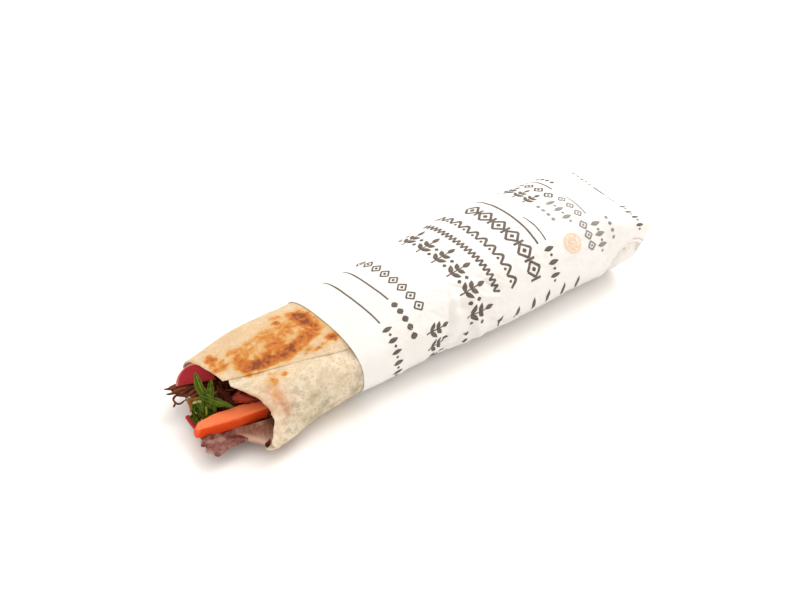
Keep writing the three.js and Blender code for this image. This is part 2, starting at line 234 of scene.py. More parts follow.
def skin(x, angle, depth):
    """Points at a depth under the roll's skin."""
    x, angle, depth = np.broadcast_arrays(x, angle, depth)
    turn = np.radians(angle)
    low = np.maximum(along(ROLL, x, 2), 0)
    high = along(ROLL, x, 3)
    boxy = smooth(x, CLOSED_END - 34, CLOSED_END)
    squareness = np.where(np.sin(turn) > 0, mix(ROUND, FOLD_ROUND, boxy), ROUND)
    across = power(np.cos(turn), squareness)
    up = power(np.sin(turn), squareness)
    narrow = 1 - along(ROLL, x, 4) * (1 - up) / 2
    half = (high - low + SETTLE) / 2
    y = (along(ROLL, x, 1) - depth) * across * narrow
    z = high - half + (half - depth) * up
    return np.stack([x, y, np.maximum(z, low + depth)], -1)


def end_shift(points):
    """How far points near the closed end move along X, because it leans and slants."""
    share = smooth(points[..., 0], CLOSED_END - END_BLEND, CLOSED_END)
    drop = 1 - points[..., 2] / along(ROLL, np.array(CLOSED_END), 3)
    return share * (points[..., 1] * END_SKEW - END_LEAN * np.maximum(drop, 0))


ARC_X = np.arange(-108.0, 109.0, 3.0)
ARC_ANGLES = np.arange(-90.0, 271.0, 1.0)


def arc_table():
    """Arc from the top for each station along the roll and each angle from below to below."""
    ring = skin(ARC_X[:, None], ARC_ANGLES[None, :], 0)
    steps = np.linalg.norm(np.diff(ring, axis=1), axis=-1)
    length = np.concatenate([np.zeros((len(ARC_X), 1)), np.cumsum(steps, axis=1)], axis=1)
    return length - length[:, [int(np.argmin(np.abs(ARC_ANGLES - 90)))]]


ARCS = arc_table()


def looked_up(x, value, read):
    """Values read from the arc table's two stations on either side of x, and blended."""
    row = np.clip(((x - ARC_X[0]) / 3).astype(int), 0, len(ARC_X) - 2)
    share = np.clip((x - ARC_X[row]) / 3, 0, 1)
    found = np.zeros_like(value)
    for station in np.unique(row):
        here = row == station
        found[here] = mix(read(value[here], ARCS[station]), read(value[here], ARCS[station + 1]),
                          share[here])
    return found


def around(x, arc):
    """Angles round the roll that lie at arcs from its top."""
    x, arc = (np.array(part, float) for part in np.broadcast_arrays(x, arc))
    return looked_up(x, arc, lambda value, arcs: np.interp(value, arcs, ARC_ANGLES))


def arc_of(x, angle):
    """Arc from the top of points at angles, the opposite of around."""
    x, angle = (np.array(part, float) for part in np.broadcast_arrays(x, angle))
    return looked_up(x, (angle + 90) % 360 - 90,
                     lambda value, arcs: np.interp(value, ARC_ANGLES, arcs))


# ---- shapes and pieces -------------------------------------------------------------------

def quads(rows, columns, closed=False):
    """Faces of a grid of points. A closed grid's last column joins its first."""
    index = np.arange(rows * columns).reshape(rows, columns)
    if closed:
        index = np.concatenate([index, index[:, :1]], axis=1)
    corners = index[:-1, :-1], index[1:, :-1], index[1:, 1:], index[:-1, 1:]
    return np.stack(corners, -1).reshape(-1, 4)


def slab(front, back, **marks):
    """Closed sheet between two grids of points: points, faces and marks for each point."""
    rows, columns = front.shape[:2]
    count = rows * columns
    index = np.arange(count).reshape(rows, columns)
    border = np.concatenate([index[0], index[1:, -1], index[-1, -2::-1], index[-2:0:-1, 0]])
    after = np.roll(border, -1)
    faces = quads(rows, columns)
    rim = np.stack([border, after, after + count, border + count], -1)
    faces = np.concatenate([faces, faces[:, ::-1] + count, rim])
    points = np.concatenate([front.reshape(-1, 3), back.reshape(-1, 3)])
    both = {key: np.tile(np.broadcast_to(value, (rows, columns)).ravel(), 2)
            for key, value in marks.items()}
    return points, faces, both


def facing(grid):
    """Unit normals of a grid of points."""
    return unit(np.cross(np.gradient(grid, axis=0), np.gradient(grid, axis=1)))


def slice_of(middle, thickness, **marks):
    """Sheet of a thickness round a grid of points."""
    half = facing(middle) * np.maximum(thickness, 0.03)[..., None] / 2
    return slab(middle + half, middle - half, **marks)


def loft(rings, **marks):
    """Closed body through rings of points, with a fan at each end."""
    rows, columns = rings.shape[:2]
    count = rows * columns
    first, last = np.arange(columns), np.arange(count - columns, count)
    caps = []
    for ring, centre, turned in ((first, count, True), (last, count + 1, False)):
        fan = np.stack([ring, np.roll(ring, -1), np.full(columns, centre)], -1)
        caps.append(fan[:, ::-1] if turned else fan)
    points = np.concatenate([rings.reshape(-1, 3), [rings[0].mean(0), rings[-1].mean(0)]])
    spread = {}
    for key, value in marks.items():
        value = np.broadcast_to(value, (rows, columns))
        spread[key] = np.concatenate([value.ravel(), [value[0].mean(), value[-1].mean()]])
    faces = quads(rows, columns, closed=True).tolist() + caps[0].tolist() + caps[1].tolist()
    return points, faces, spread


def domed(rings, reach=0.4, marks=()):
    """Rings with more rings at both ends, which close them as low domes. Marks follow suit."""
    shares = np.array([0.2, 0.45, 0.7, 0.9])[:, None, None]
    swell = reach * np.sin(shares * np.pi / 2)

    def cap(ring, neighbour):
        centre = ring.mean(0)
        return ring + (centre - ring) * shares + unit(centre - neighbour.mean(0)) * swell

    first, last = cap(rings[0], rings[1]), cap(rings[-1], rings[-2])
    longer = [np.concatenate([mark[:1].repeat(4, 0), mark, mark[-1:].repeat(4, 0)])
              for mark in marks]
    return np.concatenate([first[::-1], rings, last]), *longer


def strand(path, radii, flatness, **marks):
    """Round or flattened body along a path of points."""
    forward = unit(np.gradient(path, axis=0))
    side = unit(np.cross((0.35, 0.2, 0.92), forward))
    over = np.cross(forward, side)
    turn = np.linspace(0, 2 * np.pi, STRAND_SIDES, endpoint=False)
    radii = radii[:, None, None]
    rings = (path[:, None] + radii * np.cos(turn)[None, :, None] * side[:, None]
             + radii * flatness * np.sin(turn)[None, :, None] * over[:, None])
    return loft(rings, **marks)


def curve(places, count):
    """Points evenly along a smooth curve through places."""
    places = np.asarray(places, float)
    table = np.column_stack([np.arange(len(places)), places])
    at = np.linspace(0, len(places) - 1, count)
    return np.stack([along(table, at, column) for column in (1, 2, 3)], -1)


def gather(*shapes):
    """Several shapes as one."""
    points, faces, marks, base = [], [], {}, 0
    for shape_points, shape_faces, shape_marks in shapes:
        points.append(shape_points)
        faces.extend([corner + base for corner in face] for face in np_list(shape_faces))
        for key, value in shape_marks.items():
            marks.setdefault(key, []).append(value)
        base += len(shape_points)
    return np.concatenate(points), faces, {k: np.concatenate(v) for k, v in marks.items()}


def np_list(faces):
    return faces.tolist() if isinstance(faces, np.ndarray) else faces


def make_piece(name, shape, material, replaces=()):
    """A mesh piece that rides on the wrap, from a shape in the roll's frame."""
    points, faces, marks = shape
    mesh = bpy.data.meshes.new(name)
    mesh.from_pydata(((points + ORIGIN) * MM).tolist(), [], np_list(faces))
    for key, value in marks.items():
        layer = mesh.attributes.new(key, "FLOAT", "POINT")
        layer.data.foreach_set("value", np.asarray(value, np.float32))
    mesh.shade_smooth()
    turn_outward(mesh)
    mesh.materials.append(material)
    piece = bpy.data.objects.new(name, mesh)
    bpy.context.scene.collection.objects.link(piece)
    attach(piece, "root")
    if replaces:
        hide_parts(*replaces)
    return piece


def turn_outward(mesh):
    """Flips all faces if they point inward."""
    mesh.calc_loop_triangles()
    corners = np.empty(len(mesh.loop_triangles) * 3, np.int32)
    mesh.loop_triangles.foreach_get("vertices", corners)
    places = np.empty(len(mesh.vertices) * 3, np.float32)
    mesh.vertices.foreach_get("co", places)
    a, b, c = places.reshape(-1, 3)[corners.reshape(-1, 3)].transpose(1, 0, 2).astype(float)
    if np.einsum("ij,ij->", a, np.cross(b, c)) < 0:
        mesh.flip_normals()


# ---- materials ---------------------------------------------------------------------------

def linear(colour):
    """Linear colour with full opacity from an sRGB hex value."""
    channels = [int(colour[i:i + 2], 16) / 255 for i in (1, 3, 5)]
    return [c / 12.92 if c <= 0.04045 else ((c + 0.055) / 1.055) ** 2.4 for c in channels] + [1.0]


def add(tree, kind, inputs=None, stops=None, **settings):
    """A new node: inputs by socket name or number, each a value or another node's output,
    settings by property name, and a colour ramp's stops as place and colour pairs."""
    made = tree.nodes.new(kind)
    for key, value in settings.items():
        setattr(made, key, value)
    for key, value in (inputs or {}).items():
        if isinstance(value, bpy.types.NodeSocket):
            tree.links.new(value, made.inputs[key])
        else:
            made.inputs[key].default_value = value
    if stops:
        ramp = made.color_ramp
        while len(ramp.elements) < len(stops):
            ramp.elements.new(1.0)
        for element, (place, colour) in zip(ramp.elements, stops):
            element.position = place
            element.color = colour
    return made


def new_material(name):
    """An empty material with a shader and an output: the material, its tree and the shader."""
    material = bpy.data.materials.new(name)
    material.use_nodes = True
    tree = material.node_tree
    tree.nodes.clear()
    shader = add(tree, "ShaderNodeBsdfPrincipled")
    add(tree, "ShaderNodeOutputMaterial", {"Surface": shader.outputs[0]})
    return material, tree, shader


def grain(tree, size_mm, detail=3.0, stretch=(1, 1, 1), roughness=0.55):
    """Noise whose lumps have a size in millimetres, at places on the piece."""
    place = add(tree, "ShaderNodeTexCoord").outputs["Object"]
    scaled = add(tree, "ShaderNodeMapping", {"Vector": place, "Scale": stretch})
    return add(tree, "ShaderNodeTexNoise", {
        "Vector": scaled.outputs[0], "Scale": 1 / (size_mm * MM), "Detail": detail,
        "Roughness": roughness}).outputs["Fac"]


def tinted(tree, colour, mark, upper):
    """A colour with another laid over it, as strongly as one of the piece's marks says."""
    share = add(tree, "ShaderNodeAttribute", attribute_name=mark).outputs["Fac"]
    return add(tree, "ShaderNodeMix", {0: share, 6: colour, 7: upper},
               data_type="RGBA").outputs[2]


def mottled(tree, colour, value, low, high, upper, most=1.0):
    """A colour with another laid over it, softly, where a value runs from low to high."""
    share = add(tree, "ShaderNodeMapRange", {
        "Value": value, "From Min": low, "From Max": high, "To Max": most},
        interpolation_type="SMOOTHSTEP").outputs[0]
    return add(tree, "ShaderNodeMix", {0: share, 6: colour, 7: upper},
               data_type="RGBA").outputs[2]


def surface(tree, shader, colour, relief=None, **values):
    """Gives the shader a colour, a relief and values named with a low line for each space.
    The relief is a height from 0 to 1, its depth in millimetres and its strength."""
    tree.links.new(colour, shader.inputs["Base Color"])
    if relief:
        height, depth_mm, strength = relief
        bumped = add(tree, "ShaderNodeBump", {
            "Height": height, "Distance": depth_mm * MM, "Strength": strength})
        tree.links.new(bumped.outputs[0], shader.inputs["Normal"])
    for name, value in values.items():
        shader.inputs[name.replace("_", " ")].default_value = value


def griddled_flatbread(looks):
    """Thin wheat bread baked on a griddle: cream and dull, with fine floury specks, golden to
    brown where it touched the hot plate, and grey-green where the filling's juice shows.
    Painted shade darkens the front side below its crease and beside the paper's edge, and an
    even golden tone over the flap's top is partly painted shade."""
    material, tree, shader = new_material("griddled_flatbread")
    cloud = grain(tree, 7.0, 3.0)
    mottle = grain(tree, 3.0, 4.0, roughness=0.6)
    speck = grain(tree, 1.0, 3.0, roughness=0.7)
    fine = grain(tree, 0.5, 2.0)
    crumb = mottled(tree, list(looks.bread), mottle, 0.36, 0.66, linear("#CDBCA0"))
    crumb = mottled(tree, crumb, cloud, 0.48, 0.68, linear("#BDAB93"), 0.5)
    crumb = mottled(tree, crumb, speck, 0.55, 0.68, linear("#9B815E"), 0.6)
    # Golden toast marks, and painted shade over the flap's top.
    crumb = tinted(tree, crumb, "gold", linear("#C39961"))
    # The greyer side colour, laid on for juice blotches and as painted shade below the front crease
    # and beside the paper's edge.
    side = mottled(tree, linear("#CABFAB"), mottle, 0.4, 0.62, linear("#ACA18A"))
    side = mottled(tree, side, cloud, 0.52, 0.66, linear("#A2935D"), 0.5)
    side = mottled(tree, side, speck, 0.55, 0.68, linear("#7F7258"), 0.6)
    crumb = tinted(tree, crumb, "damp", side)
    crumb = tinted(tree, crumb, "stain", linear("#BA7C5B"))
    # The hot plate's marks, broken up by the bread's own blisters.
    blister = grain(tree, 1.9, 5.0, roughness=0.7)
    toast = add(tree, "ShaderNodeAttribute", attribute_name="toast").outputs["Fac"]
    gain = add(tree, "ShaderNodeMath", {0: blister, 1: 1.6, 2: 0.15},
               operation="MULTIPLY_ADD").outputs[0]
    heat = add(tree, "ShaderNodeMath", {0: toast, 1: gain}, operation="MULTIPLY").outputs[0]
    char = add(tree, "ShaderNodeValToRGB", {"Fac": heat}, stops=[
        (0.0, linear("#D4B380")), (0.2, linear("#CA9A59")), (0.4, linear("#BE7E39")),
        (0.6, linear("#B56829")), (0.82, linear("#A35829")), (1.0, linear("#7C421F"))])
    colour = mottled(tree, crumb, heat, 0.0, 0.4, char.outputs[0])
    lumps = add(tree, "ShaderNodeMath", {0: speck, 1: mottle}, operation="ADD").outputs[0]
    lumps = add(tree, "ShaderNodeMath", {0: lumps, 1: fine}, operation="ADD").outputs[0]
    surface(tree, shader, colour, (lumps, 0.16, 0.8), Roughness=0.75, Specular_IOR_Level=0.2,
            Subsurface_Weight=0.1, Subsurface_Radius=(1.0, 0.6, 0.35),
            Subsurface_Scale=1.2 * MM)
    return material


def greaseproof_paper(looks):
    """Bleached greaseproof paper: thin, matt and slightly see-through, white where the light
    falls on it, with faint fibres, painted shade along the edges of its folded layers and a
    faint warm tone between them."""
    material, tree, shader = new_material("greaseproof_paper")
    cloud = grain(tree, 14.0, 3.0)
    fibre = grain(tree, 0.7, 3.0, stretch=(0.4, 1, 1))
    colour = mottled(tree, list(looks.paper), cloud, 0.35, 0.7, linear("#D7D5D1"), 0.5)
    colour = mottled(tree, colour, fibre, 0.5, 0.8, linear("#CDCAC4"), 0.25)
    # Painted shade along the folded layers' edges, over a faint warm tone.
    colour = tinted(tree, colour, "tint", linear("#AF997E"))
    surface(tree, shader, colour, (fibre, 0.04, 0.5), Roughness=0.55, Specular_IOR_Level=0.35,
            Subsurface_Weight=0.1, Subsurface_Radius=(1.0, 0.9, 0.8),
            Subsurface_Scale=0.8 * MM)
    return material


def printing_ink(name, colour, pale):
    """Water-based ink that has soaked into paper: matt, and unevenly dark where it was dry."""
    material, tree, shader = new_material(name)
    patchy = grain(tree, 1.6, 3.0)
    shade = mottled(tree, colour, patchy, 0.4, 0.8, pale, 0.6)
    surface(tree, shader, shade, Roughness=0.6, Specular_IOR_Level=0.3)
    return material


def wet_flesh(name, light, deep, lump_mm, roughness, coat, depth_mm, stretch=(1, 1, 1),
              blotch=0.35):
    """Juicy plant flesh: light passes a little way into it, and its wet skin has sharp
    reflections. The deep mark says where its colour is strong."""
    material, tree, shader = new_material(name)
    lumps = grain(tree, lump_mm, 4.0, stretch=stretch)
    strong = add(tree, "ShaderNodeAttribute", attribute_name="deep").outputs["Fac"]
    share = add(tree, "ShaderNodeMath", {0: lumps, 1: blotch, 2: strong},
                operation="MULTIPLY_ADD").outputs[0]
    colour = mottled(tree, linear(light), share, 0.1 + blotch / 2, 0.9 + blotch / 2,
                     linear(deep))
    surface(tree, shader, colour, (lumps, depth_mm, 0.7), Roughness=roughness, IOR=1.36,
            Specular_IOR_Level=0.12, Coat_Weight=coat, Coat_Roughness=0.1, Coat_IOR=1.33,
            Subsurface_Weight=0.18, Subsurface_Radius=(1.0, 0.3, 0.15),
            Subsurface_Scale=1.2 * MM)
    return material


def roast_meat(name, dark, mid, light, streaks=0.4, gloss=0.25, spot_mm=1.4):
    """Thinly carved roast meat: mottled brown with paler fat, faint broken fibres and a
    greasy shine. The across and run marks count millimetres across and along its fibres."""
    material, tree, shader = new_material(name)
    cloud = grain(tree, 3.6, 4.0, roughness=0.6)
    fleck = grain(tree, spot_mm, 4.0, roughness=0.7)
    across = add(tree, "ShaderNodeAttribute", attribute_name="across").outputs["Fac"]
    run = add(tree, "ShaderNodeAttribute", attribute_name="run").outputs["Fac"]
    fibre = add(tree, "ShaderNodeCombineXYZ", {0: across, 1: run, 2: cloud}).outputs[0]
    fibre = add(tree, "ShaderNodeVectorMath", {0: fibre, 1: (1.5, 0.22, 2.0)},
                operation="MULTIPLY").outputs[0]
    lines = add(tree, "ShaderNodeTexNoise", {
        "Vector": fibre, "Scale": 1.0, "Detail": 3.0, "Roughness": 0.55}).outputs["Fac"]
    dark, mid, light = linear(dark), linear(mid), linear(light)
    colour = mottled(tree, dark, cloud, 0.36, 0.62, mid)
    colour = mottled(tree, colour, lines, 0.5, 0.7, light, streaks)
    colour = mottled(tree, colour, fleck, 0.53, 0.66, dark, 0.75)
    # Paler fat, mottles and torn edges; on the hanging slice also a painted highlight along its
    # fold.
    colour = tinted(tree, colour, "pale", light)
    height = add(tree, "ShaderNodeMath", {0: lines, 1: fleck}, operation="ADD").outputs[0]
    surface(tree, shader, colour, (height, 0.2, 0.7), Roughness=0.5, IOR=1.4,
            Specular_IOR_Level=0.12, Coat_Weight=0.5 * gloss, Coat_Roughness=0.22,
            Subsurface_Weight=0.1, Subsurface_Radius=(1.0, 0.3, 0.2),
            Subsurface_Scale=0.8 * MM)
    return material


def fresh_parsley(looks):
    """Parsley: deep green leaves with paler ribs and edges, lightly waxy."""
    material, tree, shader = new_material("fresh_parsley")
    cloud = grain(tree, 2.6, 3.0)
    colour = mottled(tree, list(looks.parsley), cloud, 0.38, 0.66, linear("#4A5D11"))
    colour = tinted(tree, colour, "pale", linear("#758329"))
    rib = add(tree, "ShaderNodeAttribute", attribute_name="pale").outputs["Fac"]
    colour = mottled(tree, colour, rib, 0.75, 0.95, linear("#A89C68"))
    surface(tree, shader, colour, (grain(tree, 0.8, 2.0), 0.08, 0.6), Roughness=0.55,
            Specular_IOR_Level=0.06, Coat_Weight=0.03, Coat_Roughness=0.2,
            Subsurface_Weight=0.15, Subsurface_Radius=(0.4, 1.0, 0.15),
            Subsurface_Scale=0.5 * MM)
    return material


# ---- settings ----------------------------------------------------------------------------

def colour_setting(name, description, default):
    return FloatVectorProperty(name=name, description=description, default=linear(default),
                               size=4, min=0.0, max=1.0, subtype="COLOR")


class WrapPaper(PropertyGroup):
    thickness: FloatProperty(
        name="Thickness", description="Thickness of the paper that shows at its edge",
        default=0.25 * MM, min=0.1 * MM, max=0.5 * MM, unit="LENGTH", precision=5)
    crumple: FloatProperty(
        name="Crumple", description="Depth of the deepest creases",
        default=1.0 * MM, min=0.0, max=2 * MM, unit="LENGTH", precision=5)
    paper: colour_setting("Paper", "Colour of the bleached paper", "#DFDEDD")
    ink: colour_setting("Ink", "Colour of the printed ornaments", "#554D45")


class WrapBread(PropertyGroup):
    blister: FloatProperty(
        name="Blister", description="Height of the bread's blisters",
        default=0.4 * MM, min=0.0, max=1.5 * MM, unit="LENGTH", precision=5)
    bread: colour_setting("Bread", "Colour of the bread where it isn't toasted", "#DACCB6")


class WrapFilling(PropertyGroup):
    shreds: IntProperty(
        name="Shreds", description="Loose strips on the packed meat", default=26, min=0, max=60)
    parsley: colour_setting("Parsley", "Colour of the parsley's leaves", "#2E3C08")


class WrapStage(PropertyGroup):
    distance: FloatProperty(
        name="Camera distance", description="From the camera to the point it looks at",
        default=0.6363, min=0.2, max=3.0, unit="LENGTH")
    lens: FloatProperty(
        name="Lens", description="Focal length of the camera", default=65.0, min=20, max=200,
        unit="CAMERA")
    fill: FloatProperty(
        name="Fill light", description="Strength of the light from all round",
        default=1.2, min=0.0, max=5.0)
    key: FloatProperty(
        name="Key light", description="Power of the soft light above and behind",
        default=11.6, min=0.0, max=100.0, unit="POWER")


# ---- paper sleeve ------------------------------------------------------------------------

PAPER_SEAM = -47.0           # arc of the sheet's outer edge, low on the back


def paper_slack(x, arc):
    """How loosely the paper lies: taut over the top, loose at the sides and the closed end."""
    sides = smooth(np.abs(arc), 15, 33)
    crumpled = 1.4 * bump(x - 2, 21) * bump(arc - 42, 15)
    crumpled = crumpled + 0.6 * bump(x - 20, 26) * bump(arc + 40, 14)
    end = smooth(x, 82, 104)
    start = smooth(x, PAPER_EDGE + 2, PAPER_EDGE + 22)
    return (0.14 + 0.5 * sides + 0.9 * crumpled + 0.35 * end) * (0.12 + 0.88 * start)


def crease_lines(count, seed):
    """Repeatable creases: middle x and arc, direction, half length, width and depth."""
    draw = np.random.default_rng(seed)
    lean = np.where(draw.random(count) < 0.6, draw.normal(0, 0.4, count),
                    draw.normal(1.35, 0.35, count))
    return np.column_stack([
        draw.uniform(-40, 104, count), draw.uniform(-72, 72, count), lean,
        draw.uniform(4, 15, count), draw.uniform(0.35, 1.1, count),
        draw.uniform(-0.7, 1.0, count)])


def paper_relief(x, arc, deepest):
    """Depth in mm of the paper's creases under the roll's skin."""
    x, arc = np.broadcast_arrays(x, arc)
    place = flat(x, arc)
    slack = paper_slack(x, arc)
    warped = place + 2.5 * np.stack([noise(place, 9, 6), noise(place, 9, 7),
                                     np.zeros_like(slack)], -1)
    depth = slack * (rough(warped, (21, 12, 1), 2, 5, fold=True)
                     + 1.5 * rough(warped, (9, 7, 1), 3, 11, fold=True) - 0.5)
    creases = np.zeros_like(depth)
    for at_x, at_arc, lean, reach, wide, deep in crease_lines(210, 4):
        dx, da = x - at_x, arc - at_arc
        run = dx * np.cos(lean) + da * np.sin(lean)
        off = da * np.cos(lean) - dx * np.sin(lean) + 0.05 * run * run / reach
        creases += deep * np.exp(-np.abs(off) / wide - (run / reach) ** 4)
    depth = (depth + np.clip(creases, -0.5, 1.2) * slack * 0.9) * deepest
    # Two soft folds come down the front where the sheet is crumpled.
    for at_x, at_arc, lean, reach in ((-8.0, 36.0, 0.3, 10.0), (3.5, 41.0, -0.2, 9.0)):
        off = x - at_x + lean * (arc - at_arc)
        fold = 1.3 * bump(off, 1.4) - 0.8 * bump(off - 3.4, 2.2)
        depth = depth + fold * bump(arc - at_arc, reach)
    # The low front edge is pressed in and bulges out again where the sheet is crumpled.
    depth = depth + 0.7 * bump(x + 14, 9) * bump(arc - 50, 12)
    depth = depth - 0.5 * bump(x - 12, 11) * bump(arc - 48, 11)
    # The sheet's outer edge lies on the layer under it and slopes away from that step.
    lapped = np.where(arc < PAPER_SEAM, np.exp((arc - PAPER_SEAM) / 14), 0)
    depth = depth - 0.3 * lapped
    # Round the mouth the paper is drawn in to lie on the bread.
    return depth + 0.5 * bump(x - PAPER_EDGE, 10)


def tucked_end(points):
    """Layers of the closed end's tucked side, which show under an arch on the front and the
    back: depth in mm, and painted shade along the layers' edges over a faint beige tone."""
    x, z = points[..., 0], points[..., 2]
    away = x - 97
    arch = 21.6 - np.where(away < 0, 0.105, 0.045) * away * away
    below = arch - z
    side = smooth(np.abs(points[..., 1]), 17, 22) * smooth(x, 84, 88) * smooth(z, 1.5, 5)
    step = smooth(below, -0.2, 0.45) * np.exp(-np.maximum(below, 0) / 6)
    second = smooth(below, 2.7, 3.2) * np.exp(-np.maximum(below - 3, 0) / 5)
    second = second * smooth(x, 89, 91) * (1 - smooth(x, 98, 100))
    third = bump(below + 2.0, 0.35) * smooth(x, 98.5, 100.5)
    lip = bump(below + 0.55, 0.6) + 0.7 * bump(below - 2.2, 0.5) * (second > 0.001)
    depth = side * (1.2 * step + 0.8 * second + 0.4 * third - 0.4 * lip)
    edges = bump(below - 0.1, 0.4) + bump(below - 2.95, 0.35) * smooth(x, 89, 91)
    edges = edges * (1 - 0.4 * smooth(x, 98, 101)) + 0.8 * third
    # Painted shade lines along the layers' edges, and a faint fill below the arch.
    tint = side * np.clip(0.8 * edges + 0.1 * smooth(below, 0, 0.5), 0, 1)
    return depth, tint


def overhang(x, z):
    """How far in mm the top fold stands out at the closed end."""
    return 1.7 * smooth(x, 96, 106.5) * smooth(z, 13, 20)


def paper_point(x, arc, lift, deepest):
    """Points on the paper, lifted off it by a height in mm."""
    angle = around(x, arc)
    depth = paper_relief(x, arc, deepest)
    points = skin(x, angle, PAPER_INSET)
    fold, tint = tucked_end(points)
    depth = np.maximum(depth, -0.6) + fold
    settled = smooth(points[..., 2], 0.05, 1.2)
    points = skin(x, angle, PAPER_INSET + (depth - lift) * settled)
    points[..., 0] += end_shift(points) + overhang(points[..., 0], points[..., 2])
    points[..., 2] = np.maximum(points[..., 2], 0)
    return points, tint


SLEEVE_SHARES = np.linspace(0, 1, 300, endpoint=False)     # of the way round, one per column
SLEEVE_EDGE = PAPER_EDGE + np.array((0, 0.12, 0.4, 0.9))   # close stations at the cut edge


def sheet_arcs(x):
    """Arcs from the top of the sleeve's columns at one place along it."""
    return mix(-1, 1, SLEEVE_SHARES) * np.interp(x, ARC_X, ARCS[:, -1])


def folded_face():
    """Rings of the closed end, a flat face of folded layers with flaps stepped one over
    the other."""
    rings = []
    base = skin(FOLD_FACE, around(FOLD_FACE, sheet_arcs(FOLD_FACE)), 0.1)
    middle = np.array((FOLD_FACE, 0, along(ROLL, np.array(CLOSED_END), 3) / 2))
    for shrink in (0.012, 0.03, 0.06, 0.1, 0.15, 0.2, 0.26, 0.33, 0.4, 0.48, 0.56, 0.65, 0.74,
                   0.84, 0.93):
        ring = mix(base, middle, shrink)
        ring[..., 0] += 0.9 * smooth(shrink, 0, 0.06)
        reach = np.abs(ring[..., 1]) / 30
        flap = 0.35 * smooth(ring[..., 2] - 8 - 9 * reach, -0.4, 0.4)
        gusset = 0.3 * smooth(np.abs(ring[..., 1]) - 11, -0.4, 0.4)
        ring[..., 0] += flap + gusset * (1 - flap)
        ring[..., 0] += 0.35 * rough(flat(ring[..., 1], ring[..., 2]), (9, 7, 1), 3, 8, fold=True)
        ring[..., 0] += end_shift(ring) + overhang(FOLD_FACE, ring[..., 2])
        rings.append(ring)
    return rings


def paper_sleeve(looks):
    """The rolled sheet and its folded end, as one closed body open at the mouth."""
    deepest = looks.crumple / MM
    thick = looks.thickness / MM
    plain = np.zeros(len(SLEEVE_SHARES))
    wave = 0.35 * noise(flat(plain, SLEEVE_SHARES * 60), (1, 7, 1), 3)
    rows, tints = [], []
    for x in np.concatenate([SLEEVE_EDGE, np.linspace(PAPER_EDGE + 1.6, 106.4, 250)]):
        trim = wave * (1 - smooth(x, PAPER_EDGE, PAPER_EDGE + 4))
        ring, tint = paper_point(x + trim, sheet_arcs(x), 0.0, deepest)
        rows.append(ring)
        tints.append(tint)
    face = folded_face()
    # The inside, from its depth to the cut edge.
    within = []
    for x in np.concatenate([np.linspace(-48, 101, 16)[::-1], SLEEVE_EDGE[::-1]]):
        ring, _ = paper_point(x + wave * (x < PAPER_EDGE + 4), sheet_arcs(x), 0.0, deepest)
        inward = unit((middle_line(x) - ring) * (0, 1, 1))
        within.append(ring + inward * (thick + 0.8 * smooth(x, -48, -44)))
    deep = within[0]
    caps = [mix(deep, deep.mean(0), share) for share in (0.9, 0.5, 0.1)]
    # The folded end face gets a faint even tone of the same mark.
    marks = [plain] * (len(caps) + len(within)) + tints + [plain + 0.08] * len(face)
    return loft(np.stack(caps + within + rows + face), tint=np.stack(marks))


class WRAP_OT_paper(Operator):
    """Rolls the paper sleeve and folds its end shut"""

    bl_idname = "wrap.paper"
    bl_label = "Paper Sleeve"

    def execute(self, context):
        looks = context.scene.wrap_paper
        make_piece("paper_sleeve", paper_sleeve(looks), greaseproof_paper(looks),
                   ["paper_wrap"])
        return {"FINISHED"}


# ---- print -------------------------------------------------------------------------------

def stroke(places, widths, step=0.7):
    """A printed line through flat places of x and arc, with widths in mm along it."""
    places = np.asarray(places, float)
    table = np.column_stack([np.arange(len(places)), places])
    length = np.linalg.norm(np.diff(places, axis=0), axis=1).sum()
    count = max(5, int(length / step))
    at = np.linspace(0, len(places) - 1, count)
    line = np.stack([along(table, at, 1), along(table, at, 2)], -1)
    widths = np.interp(np.linspace(0, 1, count), np.linspace(0, 1, len(widths)), widths)
    forward = unit(np.gradient(line, axis=0))
    side = np.stack([-forward[:, 1], forward[:, 0]], -1)
    across = np.linspace(-0.5, 0.5, 5)
    return line[:, None] + side[:, None] * (widths[:, None] * across)[..., None]


def leaf_stroke(at, heading, length, width):
    """A leaf: a line that swells and ends in a point."""
    at = np.asarray(at, float)
    ahead = np.array((np.cos(heading), np.sin(heading)))
    places = [at, at + ahead * length / 2, at + ahead * length]
    return stroke(places, [0.1, 0.8 * width, width, 0.7 * width, 0.1], 0.45)


def spray(x, arc, size):
    """A sprig along the sleeve: a short stem with two pairs of leaves and one at its tip."""
    start, ahead = np.array((x, arc)), np.array((size, 0.0))
    marks = [stroke([start, start + ahead * 0.5, start + ahead], [0.65, 0.45])]
    for share, long in ((0.25, 0.5), (0.6, 0.4)):
        for lean in (-0.95, 0.95):
            marks.append(leaf_stroke(start + ahead * share, lean, size * long, size * 0.24))
    marks.append(leaf_stroke(start + ahead * 0.9, 0.0, size * 0.45, size * 0.24))
    return marks


def bud(x, arc, size):
    """One plump leaf along the sleeve, and a dot beside it."""
    return [leaf_stroke(np.array((x, arc)), 0.0, size, size * 0.42),
            dot(x + size / 2, arc + size * 0.52, size * 0.13)]


def dots(x, first, last, pitch, radius):
    """A row of dots round the sleeve."""
    return [dot(x, arc, radius) for arc in np.arange(first, last, pitch)]


def diamond(x, arc, size, line):
    """An outlined diamond with a dot in it."""
    corners = [(x - size, arc), (x, arc + size), (x + size, arc), (x, arc - size)]
    marks = [stroke([corners[k], np.mean([corners[k], corners[k - 1]], 0), corners[k - 1]],
                    [line, line]) for k in range(4)]
    return marks + [dot(x, arc, size * 0.3)]


def dot(x, arc, radius):
    return stroke([(x, arc - radius), (x, arc), (x, arc + radius)],
                  [0.2 * radius, 1.6 * radius, 2 * radius, 1.6 * radius, 0.2 * radius], 0.3)


